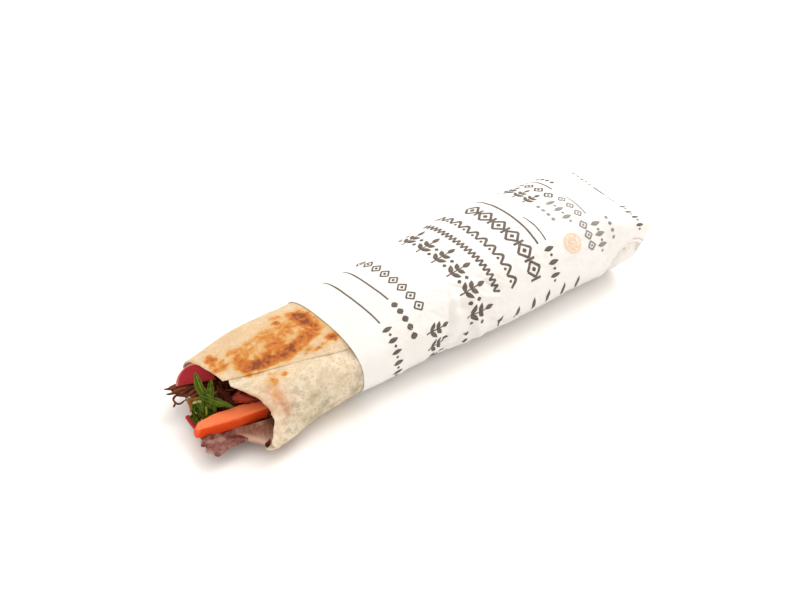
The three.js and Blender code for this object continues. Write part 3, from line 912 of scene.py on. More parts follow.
def ring_stroke(x, arc, radius, line):
    turn = np.linspace(0, 2 * np.pi, 19)
    return stroke(np.column_stack([x + radius * np.cos(turn), arc + radius * np.sin(turn)]),
                  [line, line], 0.5)


def scallops(x, first, last, pitch, rise, line):
    """A row of shallow arches round the sleeve."""
    marks = []
    for start in np.arange(first, last - pitch / 2, pitch):
        marks.append(stroke([(x, start), (x + rise, start + pitch / 2), (x, start + pitch)],
                            [line, line * 1.3, line], 0.5))
    return marks


def rule(x, first, last, line, bow=0.0):
    """A long thin line round the sleeve."""
    middle = (first + last) / 2
    return stroke([(x, first), (x + bow, middle), (x, last)], [line * 0.5, line, line, line], 0.9)


def zigzag(x, first, last, pitch, rise, line):
    arcs = np.arange(first, last, pitch / 2)
    marks = []
    for k, start in enumerate(arcs[:-1]):
        ends = (x, x + rise) if k % 2 else (x + rise, x)
        middle = (sum(ends) / 2, start + pitch / 4)
        marks.append(stroke([(ends[0], start), middle, (ends[1], start + pitch / 2)],
                            [line, line], 0.5))
    return marks


def dark_print():
    """Rows of plain ornaments round the sleeve, in the ink's dark colour."""
    marks = [rule(-36, -26, 18, 0.7, -0.6)]
    for arc in np.arange(22, 47, 5.2):
        marks += bud(-37.5, arc, 4.9)
    marks += [rule(-26, -24, 10, 0.7, -0.5)]
    marks += dots(-25.7, 14, 31, 4.0, 1.5)
    for arc in np.arange(-22, 26, 6.0):
        marks += diamond(-17.5, arc, 2.3, 0.7)
    for arc in (33, 41, 49):
        marks += spray(-19.5, arc, 8.4)
    for arc in np.arange(-27, 38, 10.5):
        marks += spray(0.5, arc, 9.5)
        marks += [dot(3.5, arc + 5.2, 0.9), dot(7.5, arc + 5.2, 0.9)]
    marks += zigzag(15.5, -22, 33, 2.6, 3.0, 0.9)
    marks += scallops(24, -24, 34, 5.8, 3.4, 1.0)
    marks += [dot(24.6, arc, 0.7) for arc in np.arange(-21.1, 32, 5.8)]
    for arc in np.arange(-14, 40, 9.0):
        marks += diamond(37.5, arc, 3.6, 1.15)
        marks += [stroke([(34.8, arc + 4.5), (37.5, arc + 4.5), (40.2, arc + 4.5)],
                         [1.15, 1.15])]
    marks += [rule(45, -24, 22, 0.9, 1.0), rule(49.5, 6, 22, 0.6, 0.5)]
    for arc in np.arange(26, 44, 6.2):
        marks += bud(46, arc, 5.6)
    for arc in np.arange(-23, -1, 6.6):
        marks += spray(57, arc, 7.6)
        marks += diamond(70.5, arc + 2, 2.3, 0.8)
    marks += [rule(76, -27, -5, 0.8, 0.6)]
    marks += dots(81.4, -25, -9, 3.4, 1.1)
    marks += dots(1.5, 46, 58, 4.6, 1.3)
    marks += [leaf_stroke(np.array((19 + 9 * k, 45)), np.pi / 2, 8.5, 2.0) for k in range(6)]
    for arc in (15.5, 20.0, 24.5, 29.0):
        marks += bud(99.6, arc, 3.7)
    for arc in np.arange(-62, -28, 9.0):
        marks += spray(-24, arc, 7.0)
        marks += spray(12, arc, 8.0)
        marks += diamond(36, arc + 3, 3.0, 0.8)
    marks += [rule(-10, -64, -30, 0.6, 0.5), rule(26, -64, -32, 0.6, 0.5),
              rule(50, -62, -34, 0.6, 0.5)]
    return marks


def faint_print():
    """Smaller ornaments near the closed end, printed paler."""
    marks = dots(60, 4, 17, 3.4, 1.0) + [rule(76.8, 3, 17, 0.7, 0.3)]
    for arc in (4.5, 10.0, 15.5):
        marks += bud(64, arc, 5.4)
        marks += diamond(73.4, arc, 1.9, 0.7)
    for arc in (23.5, 28.5, 33.5):
        marks += diamond(71.5, arc - 1.5, 2.1, 0.8)
        marks += bud(75.2, arc - 0.5, 5.6)
    return marks + dots(85.5, 22, 34, 3.2, 0.9) + dots(100.5, -20, 12, 3.3, 0.8)


ROSETTE = (61.6, 28.0)


def rosette_print():
    """A pale round flower with eight petals in a ring."""
    x, arc = ROSETTE
    marks = [ring_stroke(x, arc, 4.3, 0.7), dot(x, arc, 0.9)]
    for turn in np.arange(8) * np.pi / 4:
        start = (x + 1.1 * np.cos(turn), arc + 1.1 * np.sin(turn))
        marks.append(leaf_stroke(start, turn, 2.7, 1.9))
    return marks


def rosette_ground():
    """The paler disc under the flower."""
    x, arc = ROSETTE
    width = 8.6 * np.sqrt(np.clip(1 - np.linspace(-1, 1, 25) ** 2, 0.001, 1))
    return [stroke([(x, arc - 4.3), (x, arc), (x, arc + 4.3)], width, 0.3)]


def print_shape(marks, deepest, lift=0.09):
    """Thin ink bodies on the paper for flat marks."""
    shapes = []
    for grid in marks:
        front, _ = paper_point(grid[..., 0], grid[..., 1], lift, deepest)
        back, _ = paper_point(grid[..., 0], grid[..., 1], lift / 3, deepest)
        shapes.append(slab(front, back))
    return gather(*shapes)


class WRAP_OT_print(Operator):
    """Prints rows of plain ornaments on the paper"""

    bl_idname = "wrap.print"
    bl_label = "Print"

    def execute(self, context):
        looks = context.scene.wrap_paper
        deepest = looks.crumple / MM
        dark = printing_ink("soaked_in_ink", list(looks.ink), linear("#776F68"))
        faint = printing_ink("worn_ink", linear("#827E7B"), linear("#A29E9B"))
        pale = printing_ink("pale_peach_ink", linear("#DFC2A7"), linear("#E1CCB9"))
        wash = printing_ink("thin_peach_ink", linear("#E2D3C5"), linear("#E2D8CF"))
        for name, marks, ink in (("print_dark", dark_print(), dark),
                                 ("print_faint", faint_print(), faint),
                                 ("print_rosette", rosette_print(), pale)):
            make_piece(name, print_shape(marks, deepest), ink)
        make_piece("print_disc", print_shape(rosette_ground(), deepest, 0.05), wash)
        return {"FINISHED"}


# ---- bread -------------------------------------------------------------------------------

# Griddle marks: x, arc, half length along x, half length along the arc, strength.
TOAST = [
    (-57.2, -9.5, 4.2, 5.2, 0.88), (-56.6, -3.0, 4.0, 5.0, 0.92), (-59.5, 3.0, 4.4, 3.6, 0.72),
    (-65.5, 5.6, 5.6, 3.4, 0.72), (-72.4, 4.8, 6.4, 3.6, 0.74), (-79.5, 3.8, 5.2, 3.2, 0.66),
    (-88.4, 3.2, 4.6, 4.0, 1.0), (-84.6, 2.4, 4.2, 3.4, 0.85), (-75.2, -1.2, 3.6, 2.2, 0.46),
    (-66.0, -3.5, 5.0, 2.6, 0.4), (-68.0, -9.0, 8.5, 4.2, 0.24), (-76.5, -7.5, 4.5, 3.0, 0.2),
    (-65.6, -16.0, 3.4, 2.0, 0.4), (-68.4, -12.0, 1.0, 0.9, 0.75), (-75.0, -1.4, 1.0, 0.9, 0.9),
    (-53.8, 12.4, 2.2, 1.7, 0.7), (-60.8, 13.2, 3.0, 1.2, 0.56), (-65.8, 11.6, 3.0, 1.3, 0.42),
    (-89.4, -9.0, 2.8, 2.0, 0.46), (-98.0, -12.6, 2.6, 2.4, 0.62), (-97.2, -4.2, 2.8, 2.0, 0.46),
    (-95.4, -7.8, 2.4, 1.6, 0.34), (-92.6, 1.0, 3.0, 4.0, 0.3), (-81.1, 14.8, 2.4, 1.7, 0.45),
    (-86.9, 15.4, 2.4, 2.0, 0.4), (-84.6, 12.2, 2.0, 1.2, 0.3), (-88.6, 20.5, 1.8, 3.4, 0.3),
    (-66.5, -6.5, 8.5, 6.5, 0.16), (-76.0, -4.5, 8.0, 5.0, 0.2), (-86.0, -6.0, 6.0, 4.0, 0.24),
    (-89.6, -3.4, 3.4, 2.6, 0.5), (-54.6, 11.8, 2.4, 2.0, 0.75), (-83.5, -8.5, 4.4, 3.0, 0.12),
    (-82.0, 6.4, 3.2, 2.2, 0.6), (-75.0, 8.6, 6.0, 1.8, 0.34), (-99.4, -8.4, 1.8, 3.6, 0.5),
    (-98.6, -2.6, 2.2, 2.0, 0.34),
    (-60.0, -36.0, 7.0, 5.0, 0.5), (-82.0, -40.0, 6.0, 4.0, 0.4), (-70.0, 68.0, 8.0, 5.0, 0.5),
]


def toast_marks(x, arc, reach=1.0):
    """How strongly the griddle marked the bread, from 0 to about 1."""
    place = flat(x, arc)
    x = x + 2.6 * rough(place, (6, 5, 1), 3, 21)
    arc = arc + 2.2 * rough(place, (6, 5, 1), 3, 27)
    clear = np.ones(np.broadcast(x, arc).shape)
    for at_x, at_arc, long, wide, strength in TOAST:
        away = (((x - at_x) / long) ** 2 + ((arc - at_arc) / wide) ** 2) / reach ** 2
        clear = clear * (1 - strength * np.exp(-0.95 * away ** 1.3))
    broken = 0.6 * rough(place, (2.6, 2.2, 1), 3, 29) + 0.45 * rough(place, (1.3, 1.1, 1), 2, 33)
    return (1 - clear) * (1 + broken)


def front_crease(x):
    """Arc of the crease between the roll's top and its front side."""
    return 19.6 + 10.2 * smooth(x, -90, -50)


def second_crease(arc):
    """X of the crease that comes down from the first one behind the mouth's front rim."""
    return -88.2 + 0.9 * np.sin(arc * 0.25)


def bread_grid():
    """Places on the rolled sheet: degrees round it from its flap's edge, x and mm from its
    rim."""
    turns = np.concatenate([[0, 0.12, 0.35, 0.8, 1.5, 2.4, 3.4],
                            np.linspace(4.6, 360 + OVERLAP, 330)])[:, None]
    bare = np.concatenate([[0, 0.0025, 0.007, 0.015, 0.027, 0.042], np.linspace(0.06, 0.99, 84)])
    hidden = np.concatenate([[-51.6, -50.6, -49, -47], np.linspace(-44, BREAD_END, 13)])
    rim = along(MOUTH, turns)
    rim = rim + 0.5 * rough(flat(turns, np.zeros_like(turns)), (9, 1, 1), 4, 31)
    x = np.concatenate([mix(rim, PAPER_EDGE, bare[None, :]),
                        np.broadcast_to(hidden, (len(turns), len(hidden)))], axis=1)
    return np.broadcast_to(turns, x.shape), x, x - rim


def bread_relief(turn, x, arc, lumps, blisters):
    """Height in mm of the bread's blisters, wrinkles and creases over its smooth outside."""
    # Soft wrinkles run along the side and meet at the lower lip.
    wrinkle = rough(flat(0.25 * x + 3 * lumps, arc - 0.12 * (x + 95)), (9, 4.5, 1), 2, 47,
                    fold=True)
    raised = blisters - 0.9 * smooth(np.abs(arc), 20, 30) * (wrinkle - 0.25)
    front = turn > 150
    drop = smooth(arc, 15, 20) * (1 - smooth(arc, 36, 46)) * front
    behind = x - second_crease(arc)
    crease = 0.55 * np.exp(-np.abs(arc - front_crease(x)) / 2.2) * front
    crease = crease - 0.7 * bump(behind, 1.2) * drop
    crease = crease + 0.5 * bump(behind + 2.8, 2.2) * drop
    return crease + raised


def bread_depth(turn, x, arc, relief_mm):
    """Depth in mm under the roll's skin: the inner layer dips under the flap, the paper holds
    down all that it covers, and the back bulges behind the mouth."""
    lapped = 1.2 * smooth(turn, 336, 358) + 0.9 * smooth(turn, 363, 374)
    held = 0.95 * smooth(x, PAPER_EDGE - 12, PAPER_EDGE - 0.8)
    covered = 1.9 * smooth(x, PAPER_EDGE + 0.6, PAPER_EDGE + 8)
    shift = 0.72 * bump(turn * MM_PER_DEGREE, 6) * (x < PAPER_EDGE + 4)
    shift = shift - relief_mm * smooth(PAPER_EDGE - x, 0.5, 6)
    depth = np.maximum(lapped + held + shift, held * smooth(x, -60, -53)) + covered
    return depth - 2.1 * bump(x + 81, 15) * bump(arc + 21, 13) * (turn < 200)


def bread_points(x, angle, depth, turn, from_rim):
    """Points of the bread, with the lip's droop and the mouth's raised underside."""
    points = skin(x, angle, depth)
    sag = bump(turn - DROOP["at"], DROOP["spread"]) * bump(from_rim, DROOP["reach"])
    points = points + sag[..., None] * DROOP["shift"]
    rise = RAISE["by"] * bump(turn - RAISE["at"], RAISE["spread"]) * smooth(-x, 60, 92)
    return points + rise[..., None] * RAISE["shift"]


def bread_damp(turn, x, arc, from_rim, lumps, blotch):
    """Where the bread is greyer and darker, from 0 to 1: blotches where the filling's juice
    shows, and painted shade below the front crease and beside the paper's edge.
    """
    front = turn > 150
    wet = smooth(arc + 1.5 * lumps, front_crease(x) + 1.4, front_crease(x) + 7.0)
    dry = bump(from_rim, 4.5) + 0.8 * smooth(arc, 39, 49)
    return np.max([
        # Painted shade on the side below the front crease, broken by juice blotches.
        wet * front * (0.4 + 0.6 * blotch) * np.clip(1 - dry, 0, 1),
        0.6 * smooth(-arc, 10, 34) * blotch,
        0.5 * bump(from_rim - 7, 9) * (turn > 300) * (turn < 362) * blotch,
        # Painted shade on the strip beside the paper's edge.
        0.9 * bump(x + 53.5, 2.8) * smooth(arc, 27, 31) * front,
        0.85 * bump(x + 79.5, 5) * bump(arc - 25, 4.5) * front * (0.6 + 0.5 * blotch),
    ], axis=0)


def bread_stain(turn, x, arc, from_rim, lumps, fine):
    """Where the meat's juice has browned the second crease and the rim beside it."""
    stain = 0.75 * bump(x - second_crease(arc) - 0.4, 3.6)
    stain = stain * smooth(arc, 13, 19) * (1 - smooth(arc, 24, 36))
    stain = stain * (turn > 180) * (0.8 + 0.9 * fine + 0.4 * lumps)
    rim = 0.5 * bump(from_rim, 1.3) * smooth(turn, 286, 306) * (1 - smooth(turn, 340, 352))
    return np.clip(np.maximum(stain, rim), 0, 1)


def bread_gold(turn, x, arc, lumps, fine):
    """Where the bread is golden: round the griddle's darker marks, and over the flap, where an
    even golden tone is partly painted shade.
    """
    gold = 0.55 * bump(arc - 1.5, 10) * smooth(-x, 50, 56) * smooth(lumps, -0.45, 0.35)
    # Painted shade: an even golden tone darkens the flap's top, and more of it its back.
    gold = np.maximum(gold, 0.25 + 0.2 * smooth(-arc, 4, 14)) * (turn < 100)
    halo = toast_marks(x, arc, 1.9) * (0.8 + 0.7 * fine) * (turn < 362)
    halo = 0.85 * np.clip(halo, 0, 1) * (1 - 0.8 * smooth(turn, 300, 330))
    return np.maximum(gold, halo) + 0.35 * bump(x + 85, 9) * bump(arc - 14, 4) * (turn > 300)


def bread_sheet(looks):
    """The rolled sheet of bread from its flap's edge on top round to its inner end."""
    turn, x, from_rim = bread_grid()
    wavy = 1.3 * rough(flat(x, np.zeros_like(x)), (13, 1, 1), 3, 37) * bump(turn, 14)
    angle = along(SEAM, x) - turn + wavy
    arc = arc_of(x, angle)
    from_edge = turn * MM_PER_DEGREE
    from_inner_end = (360 + OVERLAP - turn) * MM_PER_DEGREE
    place = np.stack([x, from_edge, np.full(x.shape, 3.0)], -1)
    lumps = rough(place, (9, 8, 5), 3, 41)
    fine = rough(place, (2.4, 2.2, 2), 3, 43)
    blotch = smooth(rough(place, (7, 6, 5), 2, 49), -0.28, 0.3)
    toast = np.maximum(toast_marks(x, arc), 0) * (turn < 362)
    blisters = looks.blister / MM * (0.8 * lumps + 0.5 * fine * (1 + np.clip(toast, 0, 1)))
    base = bread_depth(turn, x, arc, bread_relief(turn, x, arc, lumps, blisters))

    # The sheet is thinner at its rim and its flap's edge, and round at every border.
    thin = 0.45 * bump(from_rim, 3) + 0.6 * bump(from_edge, 5)
    thick = BREAD_THICK * np.maximum(1 - thin, 0.35)
    border = np.minimum(np.minimum(from_rim, from_edge), from_inner_end) + 0.001
    rounding = np.sqrt(np.clip(1 - (1 - np.clip(border / 0.8, 0, 1)) ** 2, 0.0004, 1))
    inset = thick * (1 - rounding) / 2
    outer = bread_points(x, angle, base + inset, turn, from_rim)
    inner = bread_points(x, angle, base + thick - inset, turn, from_rim)
    outer[..., 2] = np.maximum(outer[..., 2], FLOOR_GAP)
    inner[..., 2] = np.maximum(inner[..., 2], FLOOR_GAP + thick * 0.7 * rounding)
    for side in (outer, inner):
        side[..., 0] += end_shift(side)
    return slab(outer, inner, toast=toast,
                damp=bread_damp(turn, x, arc, from_rim, lumps, blotch),
                stain=bread_stain(turn, x, arc, from_rim, lumps, fine),
                gold=bread_gold(turn, x, arc, lumps, fine))


class WRAP_OT_bread(Operator):
    """Rolls the griddled flatbread round the filling"""

    bl_idname = "wrap.bread"
    bl_label = "Flatbread"

    def execute(self, context):
        looks = context.scene.wrap_bread
        make_piece("bread_roll", bread_sheet(looks), griddled_flatbread(looks),
                   ["flatbread"])
        return {"FINISHED"}


# ---- vegetables --------------------------------------------------------------------------

def outward(rings):
    """Unit directions away from the middle line of rings, along their surface normals."""
    closed = np.concatenate([rings[:, -1:], rings, rings[:, :1]], axis=1)
    normal = facing(closed)[:, 1:-1]
    away = rings - rings.mean(axis=1, keepdims=True)
    return normal * np.sign((normal * away).sum(-1, keepdims=True).mean())


def bar(start, end, half_wide, half_high, slant=0.0, bow=0.0, squareness=0.5, rows=70,
        sides=72, taper=0.0):
    """Rounded bar between two points, narrower by a share at its start: rings, and the
    height and width across it from -1 to 1."""
    start, end = np.asarray(start, float), np.asarray(end, float)
    run = end - start
    length = np.linalg.norm(run)
    forward = run / length
    sideways = unit(np.cross((0, 0, 1), forward))
    upward = np.cross(forward, sideways)
    ease = np.linspace(0, 1, rows)[:, None]
    t = ease - 0.05 * np.sin(2 * np.pi * ease)
    turn = np.linspace(0, 2 * np.pi, sides, endpoint=False)[None, :]
    away = np.minimum(t, 1 - t) * length
    corner = 0.5 * (1 - np.sqrt(np.clip(1 - (1 - np.clip(away / 0.5, 0, 1)) ** 2, 0, 1)))
    narrow = 1 - taper * (1 - np.sin(np.clip(t / 0.3, 0, 1) * np.pi / 2))
    across, upright = power(np.cos(turn), squareness), power(np.sin(turn), squareness)
    wide = (half_wide * narrow - corner) * across
    high = (half_high * narrow - corner) * upright
    rings = (start + run * t[..., None]
             + forward * (slant * high * (1 - t) ** 3)[..., None]
             + sideways * (wide + bow * np.sin(np.pi * t))[..., None]
             + upward * high[..., None])
    return rings, *(np.broadcast_to(part, rings.shape[:2]) for part in (upright, across))


def tomato_wedge():
    """A stick of tomato: smooth skin on its front side, wet flesh with furrows on top."""
    start = spot("tomato_wedge", 0.03, 0.85, 0.285)
    end = spot("tomato_wedge", 0.985, 0.125, 0.87)
    rings, high, _ = bar(start, end, 3.5, 3.05, slant=0.8, bow=-0.6, squareness=0.36,
                         taper=0.29)
    flesh = smooth(high, 0.62, 0.86)
    streaks = rough(rings, (9, 1.2, 1.6), 3, 51)
    swell = 0.32 * streaks * flesh + 0.12 * rough(rings, (5, 4, 4), 2, 53)
    rings = rings + outward(rings) * swell[..., None]
    rings, skin_side = domed(rings, 0.35, [np.clip(0.9 - 0.85 * flesh + 0.45 * streaks, 0, 1)])
    return loft(rings, deep=skin_side)


def tomato_lump():
    """Glossy lump of tomato flesh and seeds deeper in the mouth."""
    low = spot("tomato_piece_inner", 0, 0, 0)
    high = spot("tomato_piece_inner", 1, 1, 1)
    middle, half = (low + high) / 2 + (-0.4, -0.2, 0), (high - low) / 2
    up = np.linspace(-np.pi / 2 + 0.03, np.pi / 2 - 0.03, 60)[:, None]
    turn = np.linspace(0, 2 * np.pi, 90, endpoint=False)[None, :]
    ball = np.stack([np.cos(up) * np.cos(turn), np.cos(up) * np.sin(turn),
                     np.sin(up) * np.ones_like(turn)], -1)
    cos, sin = np.cos(np.radians(-24)), np.sin(np.radians(-24))
    long = ball * (7.0, 3.2, half[2])
    turned = np.stack([long[..., 0] * cos - long[..., 1] * sin,
                       long[..., 0] * sin + long[..., 1] * cos, long[..., 2]], -1)
    lumps = rough(turned, (2.6, 2.2, 2.0), 3, 57)
    rings = middle + turned * (1 + 0.34 * lumps[..., None])
    return loft(rings, deep=np.clip(0.5 + 0.9 * lumps, 0, 1))


def turnip_slice():
    """Half-round slice of pickled turnip: crimson flesh and a paler round rim. The left part
    is paler as painted light, and the right part keeps no rim and stays dark as painted shade.
    """
    radius, thick, cut = 8.3, 2.6, -0.2
    caps = np.array([0.95, 0.8, 0.6, 0.4, 0.2, 0.08, 0.03])
    walls = np.linspace(-0.49, 0.49, 16)
    faces = np.full(len(caps), 0.5)
    levels = np.concatenate([-faces, walls, faces])
    insets = np.concatenate([caps, np.zeros(len(walls)), caps[::-1]])
    turn = np.linspace(0, 2 * np.pi, 140, endpoint=False)
    rings, rims, lefts = [], [], []
    for level, inset in zip(levels, insets):
        corner = 0.5 * (1 - np.sqrt(np.clip(1 - (2 * abs(level)) ** 8, 0, 1)))
        reach = (radius - corner) * (1 + 0.03 * np.sin(3 * turn)) * (1 - inset)
        flat_side = np.maximum(reach * np.cos(turn), (-cut + corner) * (1 - inset))
        dished = 0.5 * smooth(inset, 0, 0.5) * np.sign(level)
        ring = np.stack([flat_side, reach * np.sin(turn),
                         thick * level - dished + 0.3 * np.sin(2 * turn + 1) * (1 - inset)], -1)
        rings.append(ring)
        rim = smooth(np.hypot(ring[:, 0], ring[:, 1]) / radius, 0.87, 0.97)
        # The rim is kept only on the left; the right part stays dark as painted shade.
        rims.append(rim * (1 - smooth(ring[:, 1] / radius, 0.1, 0.6)))
        # Painted light: the left part is paler.
        lefts.append(1 - smooth(ring[:, 1] / radius, -1.0, 0.6))
    rings = np.array(rings)
    rings = rings * (1 + 0.16 * rough(rings, (3.4, 3.4, 2.5), 3, 61)[..., None] / radius)
    # The slice leans on the shreds, its cut side low and to the front.
    upward, along_cut = np.array((0.258, 0.584, 0.769)), np.array((0.798, -0.571, 0.179))
    outward_face = np.cross(along_cut, upward)
    rings = (spot("turnip_slice", 0.425, 0.64, 0.235) + rings[..., :1] * upward
             + rings[..., 1:2] * along_cut + rings[..., 2:] * outward_face)
    return loft(rings, deep=1 - 0.9 * np.array(rims) - 0.2 * np.array(lefts))


def turnip_stick():
    """A thin stick of pickled turnip with a pale cut edge."""
    start = spot("turnip_stick", 0.0, 0.92, 0.92) + (0.8, 0, -1.0)
    end = spot("turnip_stick", 1.0, 0.05, 0.08) + (-1.1, 0, -0.3)
    rings, high, wide = bar(start, end, 0.95, 0.8, squareness=0.45, rows=44, sides=40)
    pale = smooth(wide, 0.7, 1.0) * smooth(high, -0.4, 0.6)
    rings = rings + outward(rings) * (0.1 * rough(rings, (2.5, 2.5, 2.5), 2, 63))[..., None]
    rings, deep = domed(rings, 0.25, [1 - 0.6 * pale])
    return loft(rings, deep=deep)


class WRAP_OT_vegetables(Operator):
    """Cuts the tomato and the pickled turnip"""

    bl_idname = "wrap.vegetables"
    bl_label = "Tomato and Turnip"

    def execute(self, context):
        wedge = wet_flesh("cut_tomato", "#EB794C", "#DE4B1C", 3.0, 0.42, 0.1, 0.12,
                          stretch=(0.4, 1.6, 1))
        lump = wet_flesh("tomato_pulp", "#932D16", "#5B0A02", 1.6, 0.3, 0.45, 0.3, blotch=0.8)
        turnip = wet_flesh("pickled_turnip", "#C27E78", "#A2262F", 3.0, 0.38, 0.15, 0.1,
                           blotch=0.25)
        make_piece("tomato_stick", tomato_wedge(), wedge, ["tomato_wedge"])
        make_piece("tomato_lump", tomato_lump(), lump, ["tomato_piece_inner"])
        make_piece("turnip_half_slice", turnip_slice(), turnip,
                   ["turnip_slice"])
        make_piece("turnip_thin_stick", turnip_stick(), turnip,
                   ["turnip_stick"])
        return {"FINISHED"}


# ---- parsley -----------------------------------------------------------------------------

TO_FRONT = np.array((-0.49, -0.65, 0.58))   # from the mouth up and out to the front


def blade(places, half_wide, seed, lobes=3, notch=0.35, cup=0.4, ruffle=0.0, facing_way=TO_FRONT,
          tip=0.75):
    """A leaf along a path: widest past its middle, with rounded lobes on both edges, folded
    up along its rib, and with wavy edges. It faces a given way."""
    rows, columns = 56, 21
    path = curve(places, rows)
    forward = unit(np.gradient(path, axis=0))
    side = unit(np.cross(facing_way, forward))
    over = np.cross(forward, side)
    t = np.linspace(0, 1, rows)[:, None]
    s = np.linspace(-1, 1, columns)[None, :]
    shape = np.sin(np.pi * (0.05 + 0.93 * t ** tip)) ** 0.7
    waves = np.abs(np.sin(np.pi * lobes * t + 0.4 * np.sign(s) + seed)) ** 0.6
    width = half_wide * shape * (1 - notch * (1 - waves) * smooth(np.abs(s), 0.2, 1.0))
    rise = cup * half_wide * shape * np.abs(s) ** 1.6
    rise = rise + ruffle * half_wide * np.abs(s) ** 2 * np.sin(11 * t + seed + 1.2 * s)
    middle = (path[:, None] + side[:, None] * (width * s)[..., None]
              + over[:, None] * rise[..., None])
    middle = middle + 0.12 * over[:, None] * noise(middle, 1.1, seed)[..., None]
    thickness = 0.34 * np.sqrt(np.clip(1 - np.abs(s) ** 8, 0.02, 1))
    pale = 0.55 * bump(s * half_wide, 0.2) + 0.5 * smooth(np.abs(s), 0.86, 1.0)
    return slice_of(middle, thickness, pale=pale)


def frill(centre, radius, half_wide, start, sweep, seed, lean=(0.0, 0.0, 0.0)):
    """A curled leaf: a ruffled strip round part of a ring that faces the front."""
    over = unit(TO_FRONT + np.asarray(lean))
    right = unit(np.cross((0, 0, 1), over))
    up = np.cross(over, right)
    turn = np.radians(start + np.linspace(0, sweep, 7))
    places = [centre + radius * (np.cos(a) * right + np.sin(a) * up) for a in turn]
    return blade(places, half_wide, seed, lobes=5, notch=0.3, cup=0.9, ruffle=0.3,
                 facing_way=over)


def parsley_bunch():
    """Leaves and stems between the turnip and the tomato, placed by the bunch's own box."""

    def at(x, y, z):
        return spot("parsley_sprig", x, y, z)

    shapes = [
        # The long leaf that leans on the turnip and the shorter one beside it.
        blade([at(0.45, 0.46, 0.5), at(0.47, 0.74, 0.76), at(0.58, 1.0, 0.95)], 1.75, 1, 2, 0.2),
        blade([at(0.55, 0.42, 0.5), at(0.66, 0.56, 0.72), at(0.8, 0.66, 0.9)], 1.5, 2, 2, 0.3),
        # The leaf that points to the front over the tomato, and its darker neighbour.
        blade([at(0.48, 0.5, 0.52), at(0.66, 0.28, 0.5), at(0.92, 0.05, 0.42)], 1.55, 3, 3, 0.3),
        blade([at(0.5, 0.52, 0.46), at(0.62, 0.36, 0.38), at(0.74, 0.24, 0.34)], 1.4, 4, 3, 0.3),
        # The dense middle of the bunch.
        blade([at(0.36, 0.6, 0.6), at(0.48, 0.48, 0.56), at(0.6, 0.36, 0.5)], 1.6, 5, 3, 0.3),
        blade([at(0.42, 0.66, 0.56), at(0.42, 0.5, 0.42), at(0.46, 0.36, 0.28)], 1.6, 6, 3, 0.3),
        blade([at(0.32, 0.62, 0.5), at(0.28, 0.5, 0.36), at(0.24, 0.38, 0.22)], 1.5, 7, 3, 0.3),
        blade([at(0.56, 0.48, 0.44), at(0.54, 0.34, 0.34), at(0.5, 0.24, 0.26)], 1.3, 8, 3, 0.3),
        # Curled leaves at the front of the bunch.
        frill(at(0.27, 0.55, 0.1), 2.7, 1.3, -60, 310, 11),
        frill(at(0.28, 0.55, 0.16), 1.2, 1.1, 100, 290, 12, (0.1, 0, 0.1)),
        frill(at(0.38, 0.42, 0.16), 2.0, 1.2, 160, 250, 13, (0.2, 0.0, 0.1)),
        frill(at(0.22, 0.58, 0.2), 1.4, 1.0, 20, 230, 14, (-0.2, 0.1, 0.1)),
        frill(at(0.22, 0.48, -0.08), 2.2, 1.2, 150, 250, 15, (0, 0, -0.2)),
        frill(at(0.4, 0.5, 0.34), 1.9, 1.2, -20, 240, 16, (0.1, 0.1, 0.2)),
        frill(at(0.36, 0.44, -0.02), 2.4, 1.2, -20, 220, 17, (0, 0.1, 0)),
        frill(at(0.17, 0.59, -0.14), 1.5, 1.1, 120, 260, 18, (0, 0, -0.2)),
        frill(at(0.28, 0.5, -0.24), 1.7, 1.1, 140, 240, 19, (0, 0, -0.1)),
    ]
    stems = [
        ([at(0.15, 0.64, 0.36), at(0.25, 0.59, 0.41), at(0.37, 0.53, 0.43)], 0.75, 0.9),
        ([at(0.32, 0.36, 0.42), at(0.3, 0.33, 0.3), at(0.27, 0.31, 0.18)], 0.45, 0.8),
        ([at(0.46, 0.5, 0.54), at(0.48, 0.72, 0.79), at(0.54, 0.92, 0.93)], 0.28, 0.6),
    ]
    for places, radius, pale in stems:
        path = curve(places, 26)
        taper = radius * np.sin(np.linspace(0.5, np.pi - 0.5, len(path))) ** 0.5
        shapes.append(strand(path, taper, 0.8, pale=pale))
    return gather(*shapes)


class WRAP_OT_parsley(Operator):
    """Grows the parsley leaves and stems"""

    bl_idname = "wrap.parsley"
    bl_label = "Parsley"

    def execute(self, context):
        looks = context.scene.wrap_filling
        make_piece("parsley_bunch", parsley_bunch(), fresh_parsley(looks),
                   ["parsley_sprig"])
        return {"FINISHED"}


# ---- meat --------------------------------------------------------------------------------

def sheet_grid(across, down):
    """Shares u and v from 0 to 1 over a grid."""
    return np.meshgrid(np.linspace(0, 1, across), np.linspace(0, 1, down), indexing="ij")


def from_border(u, v, long, wide):
    """Distance in mm to the nearest edge of a sheet of a length and width."""
    return np.minimum(np.minimum(u, 1 - u) * long, np.minimum(v, 1 - v) * wide)


def ruffled(middle, across, run, depth, seed):
    """A sheet with low bumps and the faint ridges of its fibres."""
    ridges = rough(flat(run, across), (7, 1.2, 1), 3, seed)
    ridges = ridges + 0.8 * rough(flat(run, across), (3.2, 2.6, 1), 3, seed + 5)
    return middle + facing(middle) * (depth * ridges)[..., None]


def thinned(border, full, reach=1.2):
    """Thickness of a slice that is round at its border."""
    return full * np.sqrt(np.clip(1 - (1 - np.clip(border / reach, 0, 1)) ** 2, 0.001, 1))


